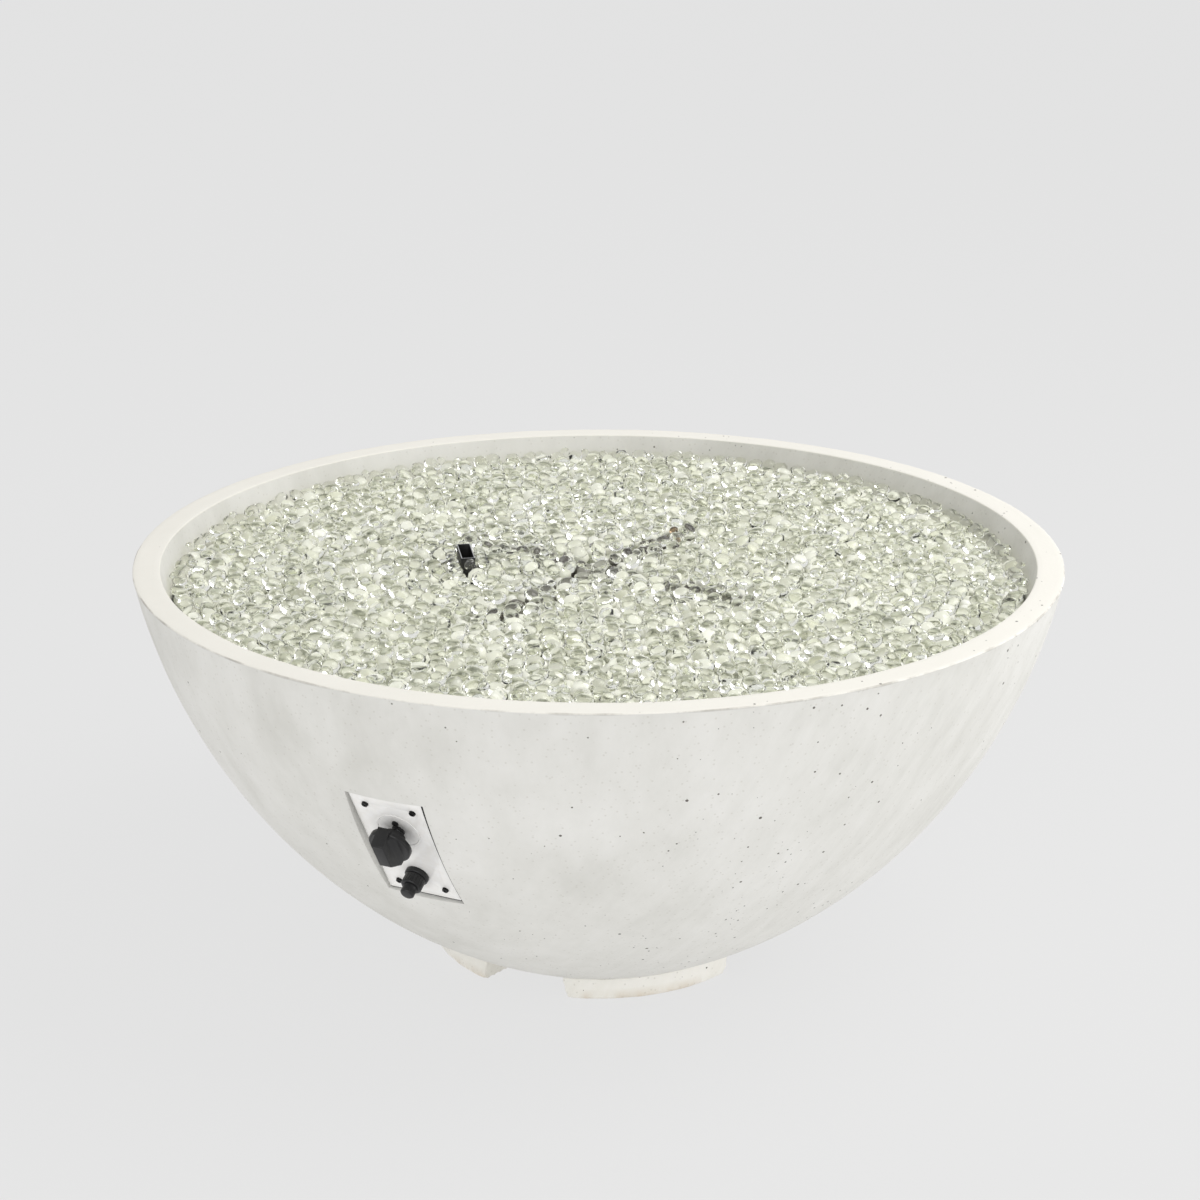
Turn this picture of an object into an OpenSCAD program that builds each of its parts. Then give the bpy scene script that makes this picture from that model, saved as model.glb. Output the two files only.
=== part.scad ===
// Gas fire pit bowl: a cast concrete bowl on four feet, clear glass over a cross burner,
// and a recessed panel with a gas knob and a battery igniter.
// Millimetres, +Z up. The origin is on the ground under the middle of the bowl, and the
// control panel faces -Y.

/* [Bowl] */
// Outside diameter at the rim
bowl_d = 1067; // [1020:1:1120]
// Height from the ground to the rim
bowl_h = 482; // [460:1:510]
// Diameter of the flat underside
base_d = 400; // [360:1:440]
// Radius of the outer wall's arc, seen from the side
wall_arc_r = 652; // [620:1:700]
// Width of the flat rim
rim_w = 31; // [26:1:38]
// Thickness of the curved wall, measured square to it
wall_t = 26; // [22:1:32]
// Thickness of the floor
floor_t = 28; // [22:1:36]
// Chamfer along the rim's two edges
rim_chamfer = 1.5; // [0.5:0.5:4]
// Diameter of the gas line hole in the floor
gas_hole_d = 76; // [50:1:110]

/* [Feet] */
// Height of the feet
foot_h = 28; // [20:1:40]
// Radial width of a foot
foot_w = 50; // [35:1:70]
// Angle that one foot spans
foot_arc = 62; // [45:1:75]
// Round along a foot's lower edges
foot_round = 6; // [2:1:10]
// How far a foot's ends lean in from top to bottom
foot_draft = 6; // [1:1:10]

/* [Tray and glass] */
// Depth of the ledge below the rim
shelf_drop = 75; // [65:1:95]
// Width of the ledge that the tray rests on
shelf_w = 26; // [18:1:36]
// Height of the ledge's upright face
shelf_t = 18; // [10:1:26]
// Sheet thickness of the tray
tray_t = 1.5; // [1:0.25:3]
// Height of the tray's turned-up lip
tray_lip_h = 25; // [12:1:40]
// Gap between the tray and the bowl's wall
tray_gap = 4; // [2:0.5:8]
// Diameter of a drain hole in the tray
drain_d = 8; // [4:1:14]
// Diameter of the circle that the drain holes lie on
drain_ring_d = 640; // [500:10:760]
// Depth of the glass below the rim, at the wall
glass_drop = 14; // [10:1:24]
// How much higher the glass lies in the middle
glass_rise = 6; // [2:1:9]
// Gap between the glass and what it lies around
glass_gap = 0.5; // [0.3:0.1:2]
// Rings of gems between the middle and the wall, in the top layer
gem_rings = 24; // [16:1:25]
// Height of a gem's top over the hollows around it
gem_relief = 8; // [4:0.5:10]
// How far a gem lies off its ring's even spacing
gem_shift = 4; // [0:0.5:5]
// How much lower a gem may lie than its neighbours
gem_sink = 4; // [0:0.5:6]
// Depth of the furrow that the gas keeps open over each burner arm
furrow_depth = 12; // [4:1:16]

/* [Burner] */
// Length of a burner arm from the middle
arm_l = 195; // [170:1:230]
// Diameter of a burner arm
arm_d = 20; // [16:0.5:26]
// Wall of a burner arm
arm_wall = 1.5; // [1:0.25:2.5]
// Height of the arms above the tray
arm_lift = 8; // [7:0.5:14]
// Diameter of the hub in the middle
hub_d = 52; // [46:1:64]
// Turn of the cross about the bowl's axis
burner_turn = -10; // [-14:1:-6]
// Diameter of a gas port
port_d = 2.5; // [1.5:0.25:4]
// Spacing of the gas ports along an arm
port_pitch = 20; // [14:1:30]
// Distance of a saddle from the middle
saddle_at = 135; // [110:1:140]
// Length of a saddle along its arm
saddle_l = 16; // [12:1:24]
// Width of a saddle's foot across its arm
saddle_w = 46; // [42:1:60]
// Diameter of the lighting tube from an arm to the hood
lighter_d = 10; // [8:0.5:12]

/* [Mixing tube] */
// Diameter of the mixing tube
mixer_d = 26; // [24:0.5:32]
// Wall of the mixing tube
mixer_wall = 2; // [1.5:0.25:3]
// Length of the mixing tube below the tray
mixer_l = 110; // [96:1:140]
// Width across the flats of its lock nuts
locknut_af = 38; // [36:1:44]
// Thickness of a lock nut
locknut_h = 6; // [4:0.5:7]
// Width of an air window
air_w = 9.5; // [6:0.5:10]
// Height of an air window
air_h = 20; // [12:1:24]
// Length of the air shutter
shutter_l = 40; // [36:1:50]
// Wall of the air shutter
shutter_wall = 1.5; // [1:0.25:3]
// Diameter of the gas line's tube
tube_d = 8; // [6:0.5:10]

/* [Ignition hood] */
// Distance of the hood's middle back from an arm's tip, along the arm
hood_from_tip = 64.6; // [58:0.1:71]
// Distance of the hood's middle from that arm's axis
hood_beside = 83.9; // [78:0.1:90]
// Turn of the hood about the upright
hood_turn = 125; // [120:1:130]
// Length of the hood
hood_l = 56; // [50:1:62]
// Width of the hood
hood_w = 16; // [14.5:0.5:22]
// Sheet thickness of the hood and its bracket
hood_sheet = 1.2; // [0.8:0.1:1.6]
// Depth of the hood's top below the rim
hood_drop = 7; // [4:0.5:12]
// Diameter of the electrode's ceramic sleeve
ceramic_d = 8; // [6:0.5:9]
// Diameter of the thermocouple's probe
probe_d = 6; // [5:0.5:8]

/* [Control panel] */
// Width of the panel plate
panel_w = 86; // [80:1:100]
// Height of the panel plate
panel_h = 158; // [150:1:176]
// Thickness of the panel plate
panel_t = 2; // [1.5:0.5:3]
// Radius of the plate's corners
panel_corner = 1.5; // [1:0.5:6]
// Depth of the plate's middle below the rim
panel_drop = 198.2; // [192:0.1:205]
// Depth of the plate's face in its pocket
panel_inset = 9; // [8:0.5:11]
// Gap around the plate
panel_gap = 3; // [1:0.5:5]
// Width of the land that the plate sits on
panel_land = 9; // [6:0.5:11]
// Spacing of the corner screws across the plate
panel_screw_x = 56; // [52:1:62]
// Spacing of the corner screws up the plate
panel_screw_y = 129; // [122:1:134]
// Thread diameter of the small screws
screw_d = 4; // [3:0.5:5]
// Head diameter of the small screws
screw_head_d = 7.5; // [6:0.5:9]
// Head height of the small screws
screw_head_h = 2.2; // [1.6:0.1:2.5]
// Length of a brass anchor in the concrete
anchor_l = 10; // [7:0.5:12]
// Diameter of a brass anchor
anchor_d = 7; // [6:0.5:8]

/* [Valve and knob] */
// Height of the knob's axis above the plate's middle
knob_up = 28; // [24:1:32]
// Gap between the bush around the stem and the heads of the two valve screws
valve_screw_gap = 0.5; // [0.3:0.1:3]
// Width of the valve body
valve_w = 34; // [30:1:40]
// Height of the valve body
valve_h = 46; // [42:1:50]
// Diameter of the valve stem
stem_d = 8; // [6:0.5:9]
// Diameter of the valve's turning plug
plug_d = 16; // [14:0.5:18]
// Travel of the knob when it is pushed
push_travel = 4; // [2:0.5:4.5]
// Diameter of the bush around the stem
bezel_d = 15; // [14:0.5:18]
// Height of the bush around the stem
bezel_h = 2; // [1:0.5:2.5]
// Diameter of the knob's neck
knob_neck_d = 22.6; // [20:0.2:26]
// Diameter of the knob's skirt
skirt_d = 46.6; // [42:0.2:52]
// Height of the skirt's underside above the plate
skirt_z = 17; // [14:0.5:19]
// Thickness of the knob's skirt
skirt_t = 6; // [4:0.5:8]
// Height of the knob's face above the plate
knob_top = 38.8; // [36:0.2:43]
// Width of the knob's grip
grip_w = 14.6; // [13:0.2:18]
// Reach of the grip's upper end from the knob's axis
grip_head = 25.5; // [23.5:0.5:28]
// Reach of the grip's lower end from the knob's axis
grip_tail = 26; // [24:0.5:29]
// Lean of the grip's upper end, from its foot to the face
grip_lean = 4.5; // [2:0.5:7]
// Length of the slope at the grip's lower end
grip_slope = 15; // [10:0.5:17]
// Radius of the hollow between the grip's sides and the skirt
grip_flare = 9; // [5:0.5:11]
// Diameter of the gas inlet's flare seat thread
inlet_d = 15.9; // [14:0.1:18]
// Length of the gas inlet's thread
inlet_l = 16; // [12:0.5:22]

/* [Igniter] */
// Depth of the igniter's axis below the plate's middle
igniter_down = 46; // [43:1:48]
// Diameter of the igniter's flange
flange_d = 26.5; // [25:0.5:31]
// Thickness of the igniter's flange
flange_t = 5.5; // [4:0.5:7]
// Diameter of the igniter's barrel behind the plate
barrel_d = 22; // [20:0.5:24]
// Diameter of the screw cap
cap_d = 23; // [22.5:0.5:25.5]
// Height of the cap's face above the plate
cap_top = 18; // [17.5:0.5:22]
// Diameter of the push button
button_d = 15.5; // [14:0.5:16]
// Height of the button's face above the plate
button_top = 28; // [26:0.5:32]
// Travel of the push button
button_travel = 3.5; // [2:0.5:3.5]
// Travel of the cap when it is unscrewed
cap_travel = 4; // [2:0.5:5]
// Diameter of the battery
battery_d = 14.2; // [13.5:0.1:14.5]
// Length of the battery
battery_l = 49.2; // [44:0.1:51]

/* [Hidden] */
$fn = 96;

// Clearances shared by the fits
slip = 0.05;
play = 0.1;
ease = 0.3;
// Overshoot of a cut past the face that it starts from
past = 1;

// Colours
concrete = "#e9e7e1";
black = "#1e1e1e";
steel = "#b9bbbd";
brass = "#b8964e";
alloy = "#a9acb0";
copper = "#b4704a";

// The outer wall is one arc through the base's edge and the rim's edge
rim_r = bowl_d / 2;
base_r = base_d / 2;
wall_rise = [rim_r - base_r, bowl_h - foot_h];
wall_chord = norm(wall_rise);
arc_reach = sqrt(wall_arc_r * wall_arc_r - wall_chord * wall_chord / 4);
arc_r = (rim_r + base_r) / 2 - arc_reach * wall_rise[1] / wall_chord;
arc_z = (bowl_h + foot_h) / 2 + arc_reach * wall_rise[0] / wall_chord;
function wall_out(z) = arc_r + sqrt(wall_arc_r * wall_arc_r - (z - arc_z) * (z - arc_z));

// The ledge and the inside of the rim
rim_in_r = rim_r - rim_w;
floor_z = foot_h + floor_t;
shelf_z = bowl_h - shelf_drop;
shelf_out_r = wall_out(shelf_z) - rim_w;
shelf_in_r = shelf_out_r - shelf_w;
function rim_inside(z) =
    shelf_out_r + (rim_in_r - shelf_out_r) * (z - shelf_z) / shelf_drop;

// The tray and the glass in it
tray_r = shelf_out_r - tray_gap;
tray_top = shelf_z + tray_t;
lip_top = shelf_z + tray_lip_h;
drains = 8;
glass_edge_z = bowl_h - glass_drop;
glass_edge_r = rim_inside(glass_edge_z) - glass_gap;

// The burner
arm_r = arm_d / 2;
arm_bore_r = arm_r - arm_wall;
arm_z = tray_top + arm_lift + arm_r;
hub_r = hub_d / 2;
hub_low = tray_top + locknut_h;
hub_top = arm_z + arm_r + 2 * arm_wall;
arm_root = hub_r - arm_r;
port_lean = 53;
first_port = hub_r + 12;
port_count = floor((arm_l - 12 - first_port) / port_pitch);
cap_lip = 1.5;
cap_plug = 5;
saddle_rise = arm_lift + arm_r * 0.4;
saddle_foot_t = 2;
saddle_screw_x = saddle_w / 2 - screw_head_d / 2 - 1;

// The mixing tube, the jet and the air shutter
mixer_r = mixer_d / 2;
mixer_bore_r = mixer_r - mixer_wall;
mixer_low = shelf_z - mixer_l;
mixer_top = hub_low + arm_wall + 4;
spigot_h = 8;
air_z = mixer_low + spigot_h + 6;
shutter_r = mixer_r + slip + shutter_wall;
shutter_low = mixer_low + ease;
shutter_tab = 14;
shutter_screw_z = shutter_low + 6;
elbow_flange_r = shutter_r + 4;
elbow_flange_t = 8;
elbow_drop = 24;
elbow_r = 9;
elbow_side_r = 7;
elbow_side_l = 28;
gas_bore_r = 3;
jet_z = mixer_low + spigot_h;
jet_hex_af = 11;
jet_hex_h = 6;
jet_tip = 5;
jet_orifice_d = 1.6;
tube_r = tube_d / 2;
tube_nut_af = tube_d + 7;
tube_nut_l = 12;

// The hood and the probes, along the hood's own length
hood_in_burner = [hood_from_tip - arm_l, -hood_beside];
hood_x = hood_in_burner[0] * cos(burner_turn) - hood_in_burner[1] * sin(burner_turn);
hood_y = hood_in_burner[0] * sin(burner_turn) + hood_in_burner[1] * cos(burner_turn);
hood_top = bowl_h - hood_drop;
hood_tab = 13;
hood_tab_l = 18;
hood_screw_y = hood_w / 2 + hood_tab / 2;
hood_slot_pitch = 14;
hood_slot_w = 6;
hood_slot_h = 8;
hood_slot_z = tray_top + 10;
bracket_rise = 22;
bracket_z = tray_top + bracket_rise;
bracket_l = 40;
bracket_w = hood_w - 2 * hood_sheet - 2 * ease;
electrode_at = -8;
probe_at = 10;
ceramic_r = ceramic_d / 2;
probe_r = probe_d / 2;
rod_r = 1.2;
ceramic_low = shelf_z - 14;
ceramic_top = bracket_z + 20;
rod_low = ceramic_low - 8;
rod_top = hood_top - 14;
probe_low = shelf_z - 12;
probe_top = hood_top - 16;
wire_r = 1.8;
lead_r = 1.2;

// The control panel stands square to the outer wall, panel_inset deep
panel_z = bowl_h - panel_drop;
panel_tilt = asin((arc_z - panel_z) / (wall_arc_r - panel_inset));
panel_y = -(arc_r + (wall_arc_r - panel_inset) * cos(panel_tilt));
panel_up = [0, -sin(panel_tilt), cos(panel_tilt)];
panel_out = [0, -cos(panel_tilt), -sin(panel_tilt)];
function on_panel(x, up, out) = [0, panel_y, panel_z] + [x, 0, 0] + up * panel_up + out * panel_out;
screw_pad = anchor_d / 2 + 4;
screw_l = panel_t + anchor_l - 1;

// The valve, as heights above the plate's face
valve_face = -panel_t;
valve_screw_l = panel_t + 8;
valve_screw_at = bezel_d / 2 + valve_screw_gap + screw_head_d / 2;
stem_r = stem_d / 2;
stem_shoulder = valve_face - 6;
collar_t = 2;
collar_r = stem_r + 2.4;
collar_low = stem_shoulder - ease - collar_t;
plug_r = plug_d / 2;
port_hex_af = 17;
port_clear = 12;
port_low = -(wall_t - panel_inset + port_clear + port_hex_af / 2 / cos(30));
plug_reach = 7;
plug_top = port_low + plug_reach;
plug_low = port_low - plug_reach;
tang_t = stem_d / 2;
tang_low = plug_top - push_travel - 1;
chamber_low = plug_low - ease;
magnet_seat = 5;
valve_low = chamber_low - magnet_seat;
magnet_r = plug_r + 1;
magnet_flange_r = magnet_r + 3;
magnet_flange_t = 4;
magnet_can_r = 8;
magnet_l = 22;
magnet_low = valve_low - magnet_l;
nut_thread_r = 4;
nut_thread_l = 7;
nut_hex_af = 11;
nut_hex_l = 6;
port_thread_r = 5;
port_thread_l = 6;
port_hex_l = 8;
inlet_flare = 4;

// The knob
bezel_spigot_r = bezel_d / 2 - 1;
knob_low = max(screw_head_h, bezel_h) + push_travel + 2 * ease;
knob_hollow_r = stem_r + 1;
knob_hollow_top = knob_low + 3;
stem_top = knob_top - 5;
stem_flat = stem_r - 1.4;
clip_t = 0.5;
knob_flat = stem_flat + clip_t + 2 * slip;
grip_edge = 1;
grip_low = skirt_z + ease;
skirt_rim = 1.5;

// The igniter
barrel_r = barrel_d / 2;
cell_r = battery_d / 2 + 0.5;
neck_r = cell_r + 1.4;
neck_top = flange_t + cap_travel;
battery_low = flange_t - battery_l;
cell_low = battery_low - 6;
igniter_low = cell_low - 4;
igniter_nut_t = 5;
nut_notch_r = (flange_d / 2 - barrel_r) / 2;
cap_low = flange_t + ease;
cap_ceiling = cap_top - 2.4;
button_r = button_d / 2;
button_flange_r = neck_r - 0.4;
button_flange_low = neck_top + button_travel + ease;
button_flange_top = cap_ceiling - ease;
seal_wire_r = 0.6;
seal_r = neck_r + ease + seal_wire_r;
seal_pocket = 2 * seal_wire_r + 2 * ease;
cap_ribs = 20;
button_ribs = 3;

// Moves children from the plate's own axes to the bowl: X across, Y up the plate, Z outward
module at_panel(up = 0) {
    translate([0, panel_y, panel_z]) rotate([90 + panel_tilt, 0, 0]) translate([0, up, 0]) children();
}

// Moves children to the hood's own axes, with X along the hood and Z from the ground
module at_hood() {
    translate([hood_x, hood_y, 0]) rotate([0, 0, hood_turn]) children();
}

module rounded_plate(w, h, r) {
    square([w - 2 * r, h], center = true);
    square([w, h - 2 * r], center = true);
    for (sx = [-1, 1], sy = [-1, 1])
        translate([sx * (w / 2 - r), sy * (h / 2 - r)]) circle(r);
}

module ring(r_out, r_in, h) {
    difference() {
        cylinder(r = r_out, h = h);
        translate([0, 0, -past]) cylinder(r = r_in, h = h + 2 * past);
    }
}

module hexagon(af, h) {
    cylinder(d = af / cos(30), h = h, $fn = 6);
}

// Cross-head screw: the head's underside is at zero and the shank points down
module pan_screw(l) {
    difference() {
        union() {
            cylinder(d1 = screw_head_d, d2 = screw_head_d - 1, h = screw_head_h);
            translate([0, 0, -l]) cylinder(d = screw_d, h = l + past / 2);
        }
        for (turn = [0, 90])
            rotate([0, 0, turn])
                translate([-screw_d / 2, -0.5, screw_head_h - 1.2]) cube([screw_d, 1, 1.2 + past]);
    }
}

// A tube swept along points, whose corners are first rounded by the given radius
function unit(v) = v / norm(v);
corner_steps = 5;
function corner(a, b, c, d) = [
    for (i = [0:corner_steps])
        let (t = i / corner_steps, p = b + d * unit(a - b), q = b + d * unit(c - b))
            (1 - t) * (1 - t) * p + 2 * t * (1 - t) * b + t * t * q
];
function rounded_path(pts, d) = concat(
    [pts[0]],
    [for (i = [1:len(pts) - 2]) each corner(pts[i - 1], pts[i], pts[i + 1], d)],
    [pts[len(pts) - 1]]
);
function heading(path, i) =
    unit(path[min(i + 1, len(path) - 1)] - path[max(i - 1, 0)]);
function ring_at(path, i, r, sides, aside) =
    let (t = heading(path, i), u = unit(cross(t, aside)), v = cross(t, u))
        [for (k = [0:sides - 1]) path[i] + r * (cos(360 * k / sides) * u + sin(360 * k / sides) * v)];

module swept(path, r, sides, aside) {
    rings = len(path);
    last = (rings - 1) * sides;
    polyhedron(
        points = [for (i = [0:rings - 1]) each ring_at(path, i, r, sides, aside)],
        faces = concat(
            [for (i = [0:rings - 2], k = [0:sides - 1])
                let (a = i * sides + k, b = i * sides + (k + 1) % sides)
                    each [[a, b, a + sides], [b, b + sides, a + sides]]],
            [for (k = [1:sides - 2]) [0, k + 1, k]],
            [for (k = [1:sides - 2]) [last, last + k, last + k + 1]]
        )
    );
}

// A coil spring standing on zero, with its wire's middle on a circle of radius r
function coil_path(r, wire, h, turns) = [
    for (i = [0:8 * turns])
        [r * cos(45 * i), r * sin(45 * i), wire + (h - 2 * wire) * i / (8 * turns)]
];
module coil(r, wire, h, turns) {
    swept(coil_path(r, wire, h, turns), wire, 6, [0, 0, 1]);
}

// Routes inside the bowl, by hand, from where each run starts to where it ends
valve_outlet = on_panel(valve_w / 2, knob_up, port_low);
elbow_inlet = [0, -elbow_side_l, mixer_low - elbow_drop];
supply_route = [
    valve_outlet,
    valve_outlet + [60, 0, 0],
    valve_outlet + [60, 120, -10],
    elbow_inlet + [0, -90, 0],
    elbow_inlet
];
supply_bend = 28;
hood_mid = [hood_x, hood_y, 0];
hood_along = [cos(hood_turn), sin(hood_turn), 0];
rod_end = hood_mid + electrode_at * hood_along + [0, 0, rod_low];
probe_end = hood_mid + probe_at * hood_along + [0, 0, probe_low];
run_drop = 36;
run_z = shelf_z - run_drop;
wire_start = on_panel(0, -igniter_down, igniter_low);
lead_start = on_panel(0, knob_up, magnet_low - nut_hex_l);
clip_ways = [[-90, -200, run_z], [-70, -290, run_z]];
wire_aside = [5, 1.1, 0];
wire_route = [
    wire_start,
    wire_start - 40 * panel_out,
    clip_ways[1] + wire_aside + [6, -27, 0],
    clip_ways[0] + wire_aside + [-6, 27, 0],
    [rod_end[0], rod_end[1], run_z],
    rod_end
];
lead_route = [
    lead_start,
    lead_start - 20 * panel_out,
    clip_ways[1] - wire_aside + [6, -27, 0],
    clip_ways[0] - wire_aside + [-6, 27, 0],
    [probe_end[0], probe_end[1], run_z],
    probe_end
];
lead_bend = 9;
aside_of_runs = [0.9, 0.35, 0.1];
clip_l = 12;
clip_w = 18;
clip_rise = 5;
clip_turn = atan2(clip_ways[1][1] - clip_ways[0][1], clip_ways[1][0] - clip_ways[0][0]);

// Bowl
module bowl_section() {
    difference() {
        intersection() {
            translate([arc_r, arc_z]) circle(r = wall_arc_r);
            translate([0, foot_h]) square([bowl_d, bowl_h - foot_h]);
        }
        polygon([
            [0, shelf_z], [shelf_out_r, shelf_z], [rim_in_r, bowl_h],
            [rim_in_r, bowl_h + past], [0, bowl_h + past]
        ]);
        intersection() {
            translate([arc_r, arc_z]) circle(r = wall_arc_r - wall_t);
            polygon([
                [0, floor_z], [bowl_d, floor_z], [bowl_d, shelf_z - shelf_t - bowl_d + shelf_in_r],
                [shelf_in_r, shelf_z - shelf_t], [shelf_in_r, shelf_z + past], [0, shelf_z + past]
            ]);
        }
        rim_edge(rim_r, 1);
        rim_edge(rim_in_r, -1);
    }
}

module rim_edge(r, side) {
    polygon([
        [r - side * rim_chamfer, bowl_h], [r + side * past, bowl_h],
        [r + side * past, bowl_h - rim_chamfer - past]
    ]);
}

module panel_window() {
    difference() {
        square([panel_w - 2 * panel_land, panel_h - 2 * panel_land], center = true);
        for (sx = [-1, 1], sy = [-1, 1])
            translate([sx * (panel_screw_x / 2 + panel_w / 2 - screw_pad),
                       sy * (panel_screw_y / 2 + panel_h / 2 - screw_pad)])
                square([panel_w, panel_h], center = true);
    }
}

module at_panel_screws() {
    for (sx = [-1, 1], sy = [-1, 1])
        translate([sx * panel_screw_x / 2, sy * panel_screw_y / 2, 0]) children();
}

module bowl_shell() {
    color(concrete) difference() {
        rotate_extrude() bowl_section();
        translate([0, 0, foot_h - past]) cylinder(d = gas_hole_d, h = floor_t + 2 * past);
        at_panel() {
            translate([0, 0, -panel_t])
                linear_extrude(panel_t + panel_inset + wall_t)
                    rounded_plate(panel_w + 2 * panel_gap, panel_h + 2 * panel_gap, panel_corner);
            translate([0, 0, -3 * wall_t]) linear_extrude(3 * wall_t) panel_window();
            translate([0, 0, -panel_t - anchor_l])
                at_panel_screws() cylinder(r = anchor_d / 2 + slip, h = anchor_l + past);
        }
    }
}

module foot_section() {
    translate([base_r - foot_w, foot_round]) square([foot_w, foot_h - foot_round]);
    translate([base_r - foot_w + foot_round, 0]) square([foot_w - 2 * foot_round, foot_h]);
    for (r = [base_r - foot_w + foot_round, base_r - foot_round])
        translate([r, foot_round]) circle(foot_round);
}

module foot() {
    lean = atan(foot_draft / foot_h);
    difference() {
        rotate([0, 0, -foot_arc / 2]) rotate_extrude(angle = foot_arc) foot_section();
        for (side = [-1, 1])
            rotate([0, 0, side * foot_arc / 2])
                translate([0, 0, foot_h])
                    rotate([-side * lean, 0, 0])
                        translate([0, side < 0 ? -base_d : 0, -base_d]) cube(base_d);
    }
}

module feet() {
    color(concrete) for (i = [0:3]) rotate([0, 0, 45 + 90 * i]) foot();
}

// Tray and glass
module at_saddles() {
    for (i = [0:3]) rotate([0, 0, burner_turn + 90 * i]) translate([saddle_at, 0, 0]) children();
}

module at_saddle_screws() {
    at_saddles() for (side = [-1, 1]) translate([0, side * saddle_screw_x, 0]) children();
}

module at_hood_screws() {
    at_hood() for (side = [-1, 1]) translate([0, side * hood_screw_y, 0]) children();
}

module burner_tray() {
    screw_hole = screw_d / 2 + play;
    color(steel) difference() {
        rotate_extrude() {
            translate([0, shelf_z]) square([tray_r, tray_t]);
            translate([tray_r - tray_t, shelf_z]) square([tray_t, tray_lip_h]);
        }
        translate([0, 0, shelf_z - past]) {
            cylinder(r = mixer_r + slip, h = tray_t + 2 * past);
            for (i = [0:drains - 1])
                rotate([0, 0, 360 * (i + 0.5) / drains])
                    translate([drain_ring_d / 2, 0, 0]) cylinder(d = drain_d, h = tray_t + 2 * past);
            at_saddle_screws() cylinder(r = screw_hole, h = tray_t + 2 * past);
            at_hood_screws() cylinder(r = screw_hole, h = tray_t + 2 * past);
            at_hood() {
                translate([electrode_at, 0, 0]) cylinder(r = ceramic_r + 1, h = tray_t + 2 * past);
                translate([probe_at, 0, 0]) cylinder(r = probe_r + 1, h = tray_t + 2 * past);
            }
        }
    }
}

// The space that the burner, its saddles and the hood take up in the glass
module glass_cuts() {
    low = tray_top - past;
    translate([0, 0, low])
        cylinder(r = max(hub_r, locknut_af / 2 / cos(30)) + glass_gap, h = hub_top + glass_gap - low);
    for (i = [0:3]) rotate([0, 0, burner_turn + 90 * i]) {
        translate([0, 0, arm_z]) rotate([0, 90, 0])
            cylinder(r = arm_r + glass_gap, h = arm_l + cap_lip + glass_gap);
        translate([0, -arm_r - glass_gap, low])
            cube([arm_l + cap_lip + glass_gap, 2 * (arm_r + glass_gap), arm_z - low]);
    }
    at_saddles()
        translate([-saddle_l / 2 - glass_gap, -saddle_w / 2 - glass_gap, low])
            cube([saddle_l + 2 * glass_gap, saddle_w + 2 * glass_gap,
                  past + saddle_rise + screw_head_h + glass_gap]);
    at_hood() {
        translate([-hood_l / 2 - glass_gap, -hood_w / 2 - glass_gap, low])
            cube([hood_l + 2 * glass_gap, hood_w + 2 * glass_gap, bowl_h - low]);
        translate([-hood_tab_l / 2 - glass_gap, -hood_w / 2 - hood_tab - glass_gap, low])
            cube([hood_tab_l + 2 * glass_gap, hood_w + 2 * (hood_tab + glass_gap),
                  past + hood_sheet + screw_head_h + glass_gap]);
    }
    lighter_way(lighter_d / 2 + glass_gap);
}

// The top layer of gems lies in rings, each with six gems more than the last, so that each gem has
// six neighbours. A gem's top is a point of the surface, and so is the hollow between three gems.
gem_pitch = rim_in_r / gem_rings;
gem_last = gem_rings + 2;

// A share from 0 to 1 that differs from gem to gem but is the same each time
function chance(ring, i, use) =
    let (mixed = 43758.5453 * sin(127.1 * ring + 311.7 * i + 74.7 * use)) mixed - floor(mixed);

// Distance on plan from the middle line of the nearest burner arm
function arm_reach(p) =
    let (u = abs(p[0] * cos(burner_turn) + p[1] * sin(burner_turn)),
         v = abs(p[1] * cos(burner_turn) - p[0] * sin(burner_turn)))
    max(u, v) < arm_l ? min(u, v) : norm([min(u, v), max(u, v) - arm_l]);

// Top of gem i of a ring, counted round the ring
function gem_top(ring, i) =
    let (turn = ring > 0 ? 60 * i / ring : 0,
         n = i % max(6 * ring, 1),
         x = ring * gem_pitch * cos(turn) + gem_shift * (2 * chance(ring, n, 1) - 1),
         y = ring * gem_pitch * sin(turn) + gem_shift * (2 * chance(ring, n, 2) - 1),
         level = glass_edge_z + glass_rise * (1 - norm([x, y]) / glass_edge_r),
         furrow = arm_reach([x, y]) < gem_pitch / 2 ? furrow_depth : 0)
    [x, y, level - gem_sink * chance(ring, n, 3) - furrow];

// Hollow i of the strip between a ring and the one inside it. Every second one lies between two
// gems of the outer ring and one of the inner, and the others the other way round. The last strip
// lies outside the bowl and only closes the layer below.
function hollow(ring, i) =
    let (sector = floor(i / (2 * ring - 1)),
         step = i % (2 * ring - 1),
         out = sector * ring + floor(step / 2),
         in = sector * (ring - 1) + floor(step / 2),
         third = step % 2 == 0 ? gem_top(ring, out) : gem_top(ring - 1, in + 1),
         mid = (gem_top(ring - 1, in) + gem_top(ring, out + 1) + third) / 3)
    [mid[0], mid[1], ring == gem_last ? shelf_z : mid[2] - gem_relief];

function strip_size(ring) = 6 * (2 * ring - 1);
function strip_spot(ring, i) =
    6 * (ring - 1) * (ring - 1) + (i + strip_size(ring)) % strip_size(ring);

// The hollows around gem b of a ring's sector, the outer ones first
function around(ring, sector, b) =
    let (out = sector * (2 * ring + 1) + 2 * b,
         in = sector * (2 * ring - 1) + 2 * b)
    concat(
        [for (i = [out - (b > 0 ? 1 : 2):out + 1]) strip_spot(ring + 1, i)],
        [for (i = [in:-1:in - (b > 0 ? 2 : 1)]) strip_spot(ring, i)]
    );

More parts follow.
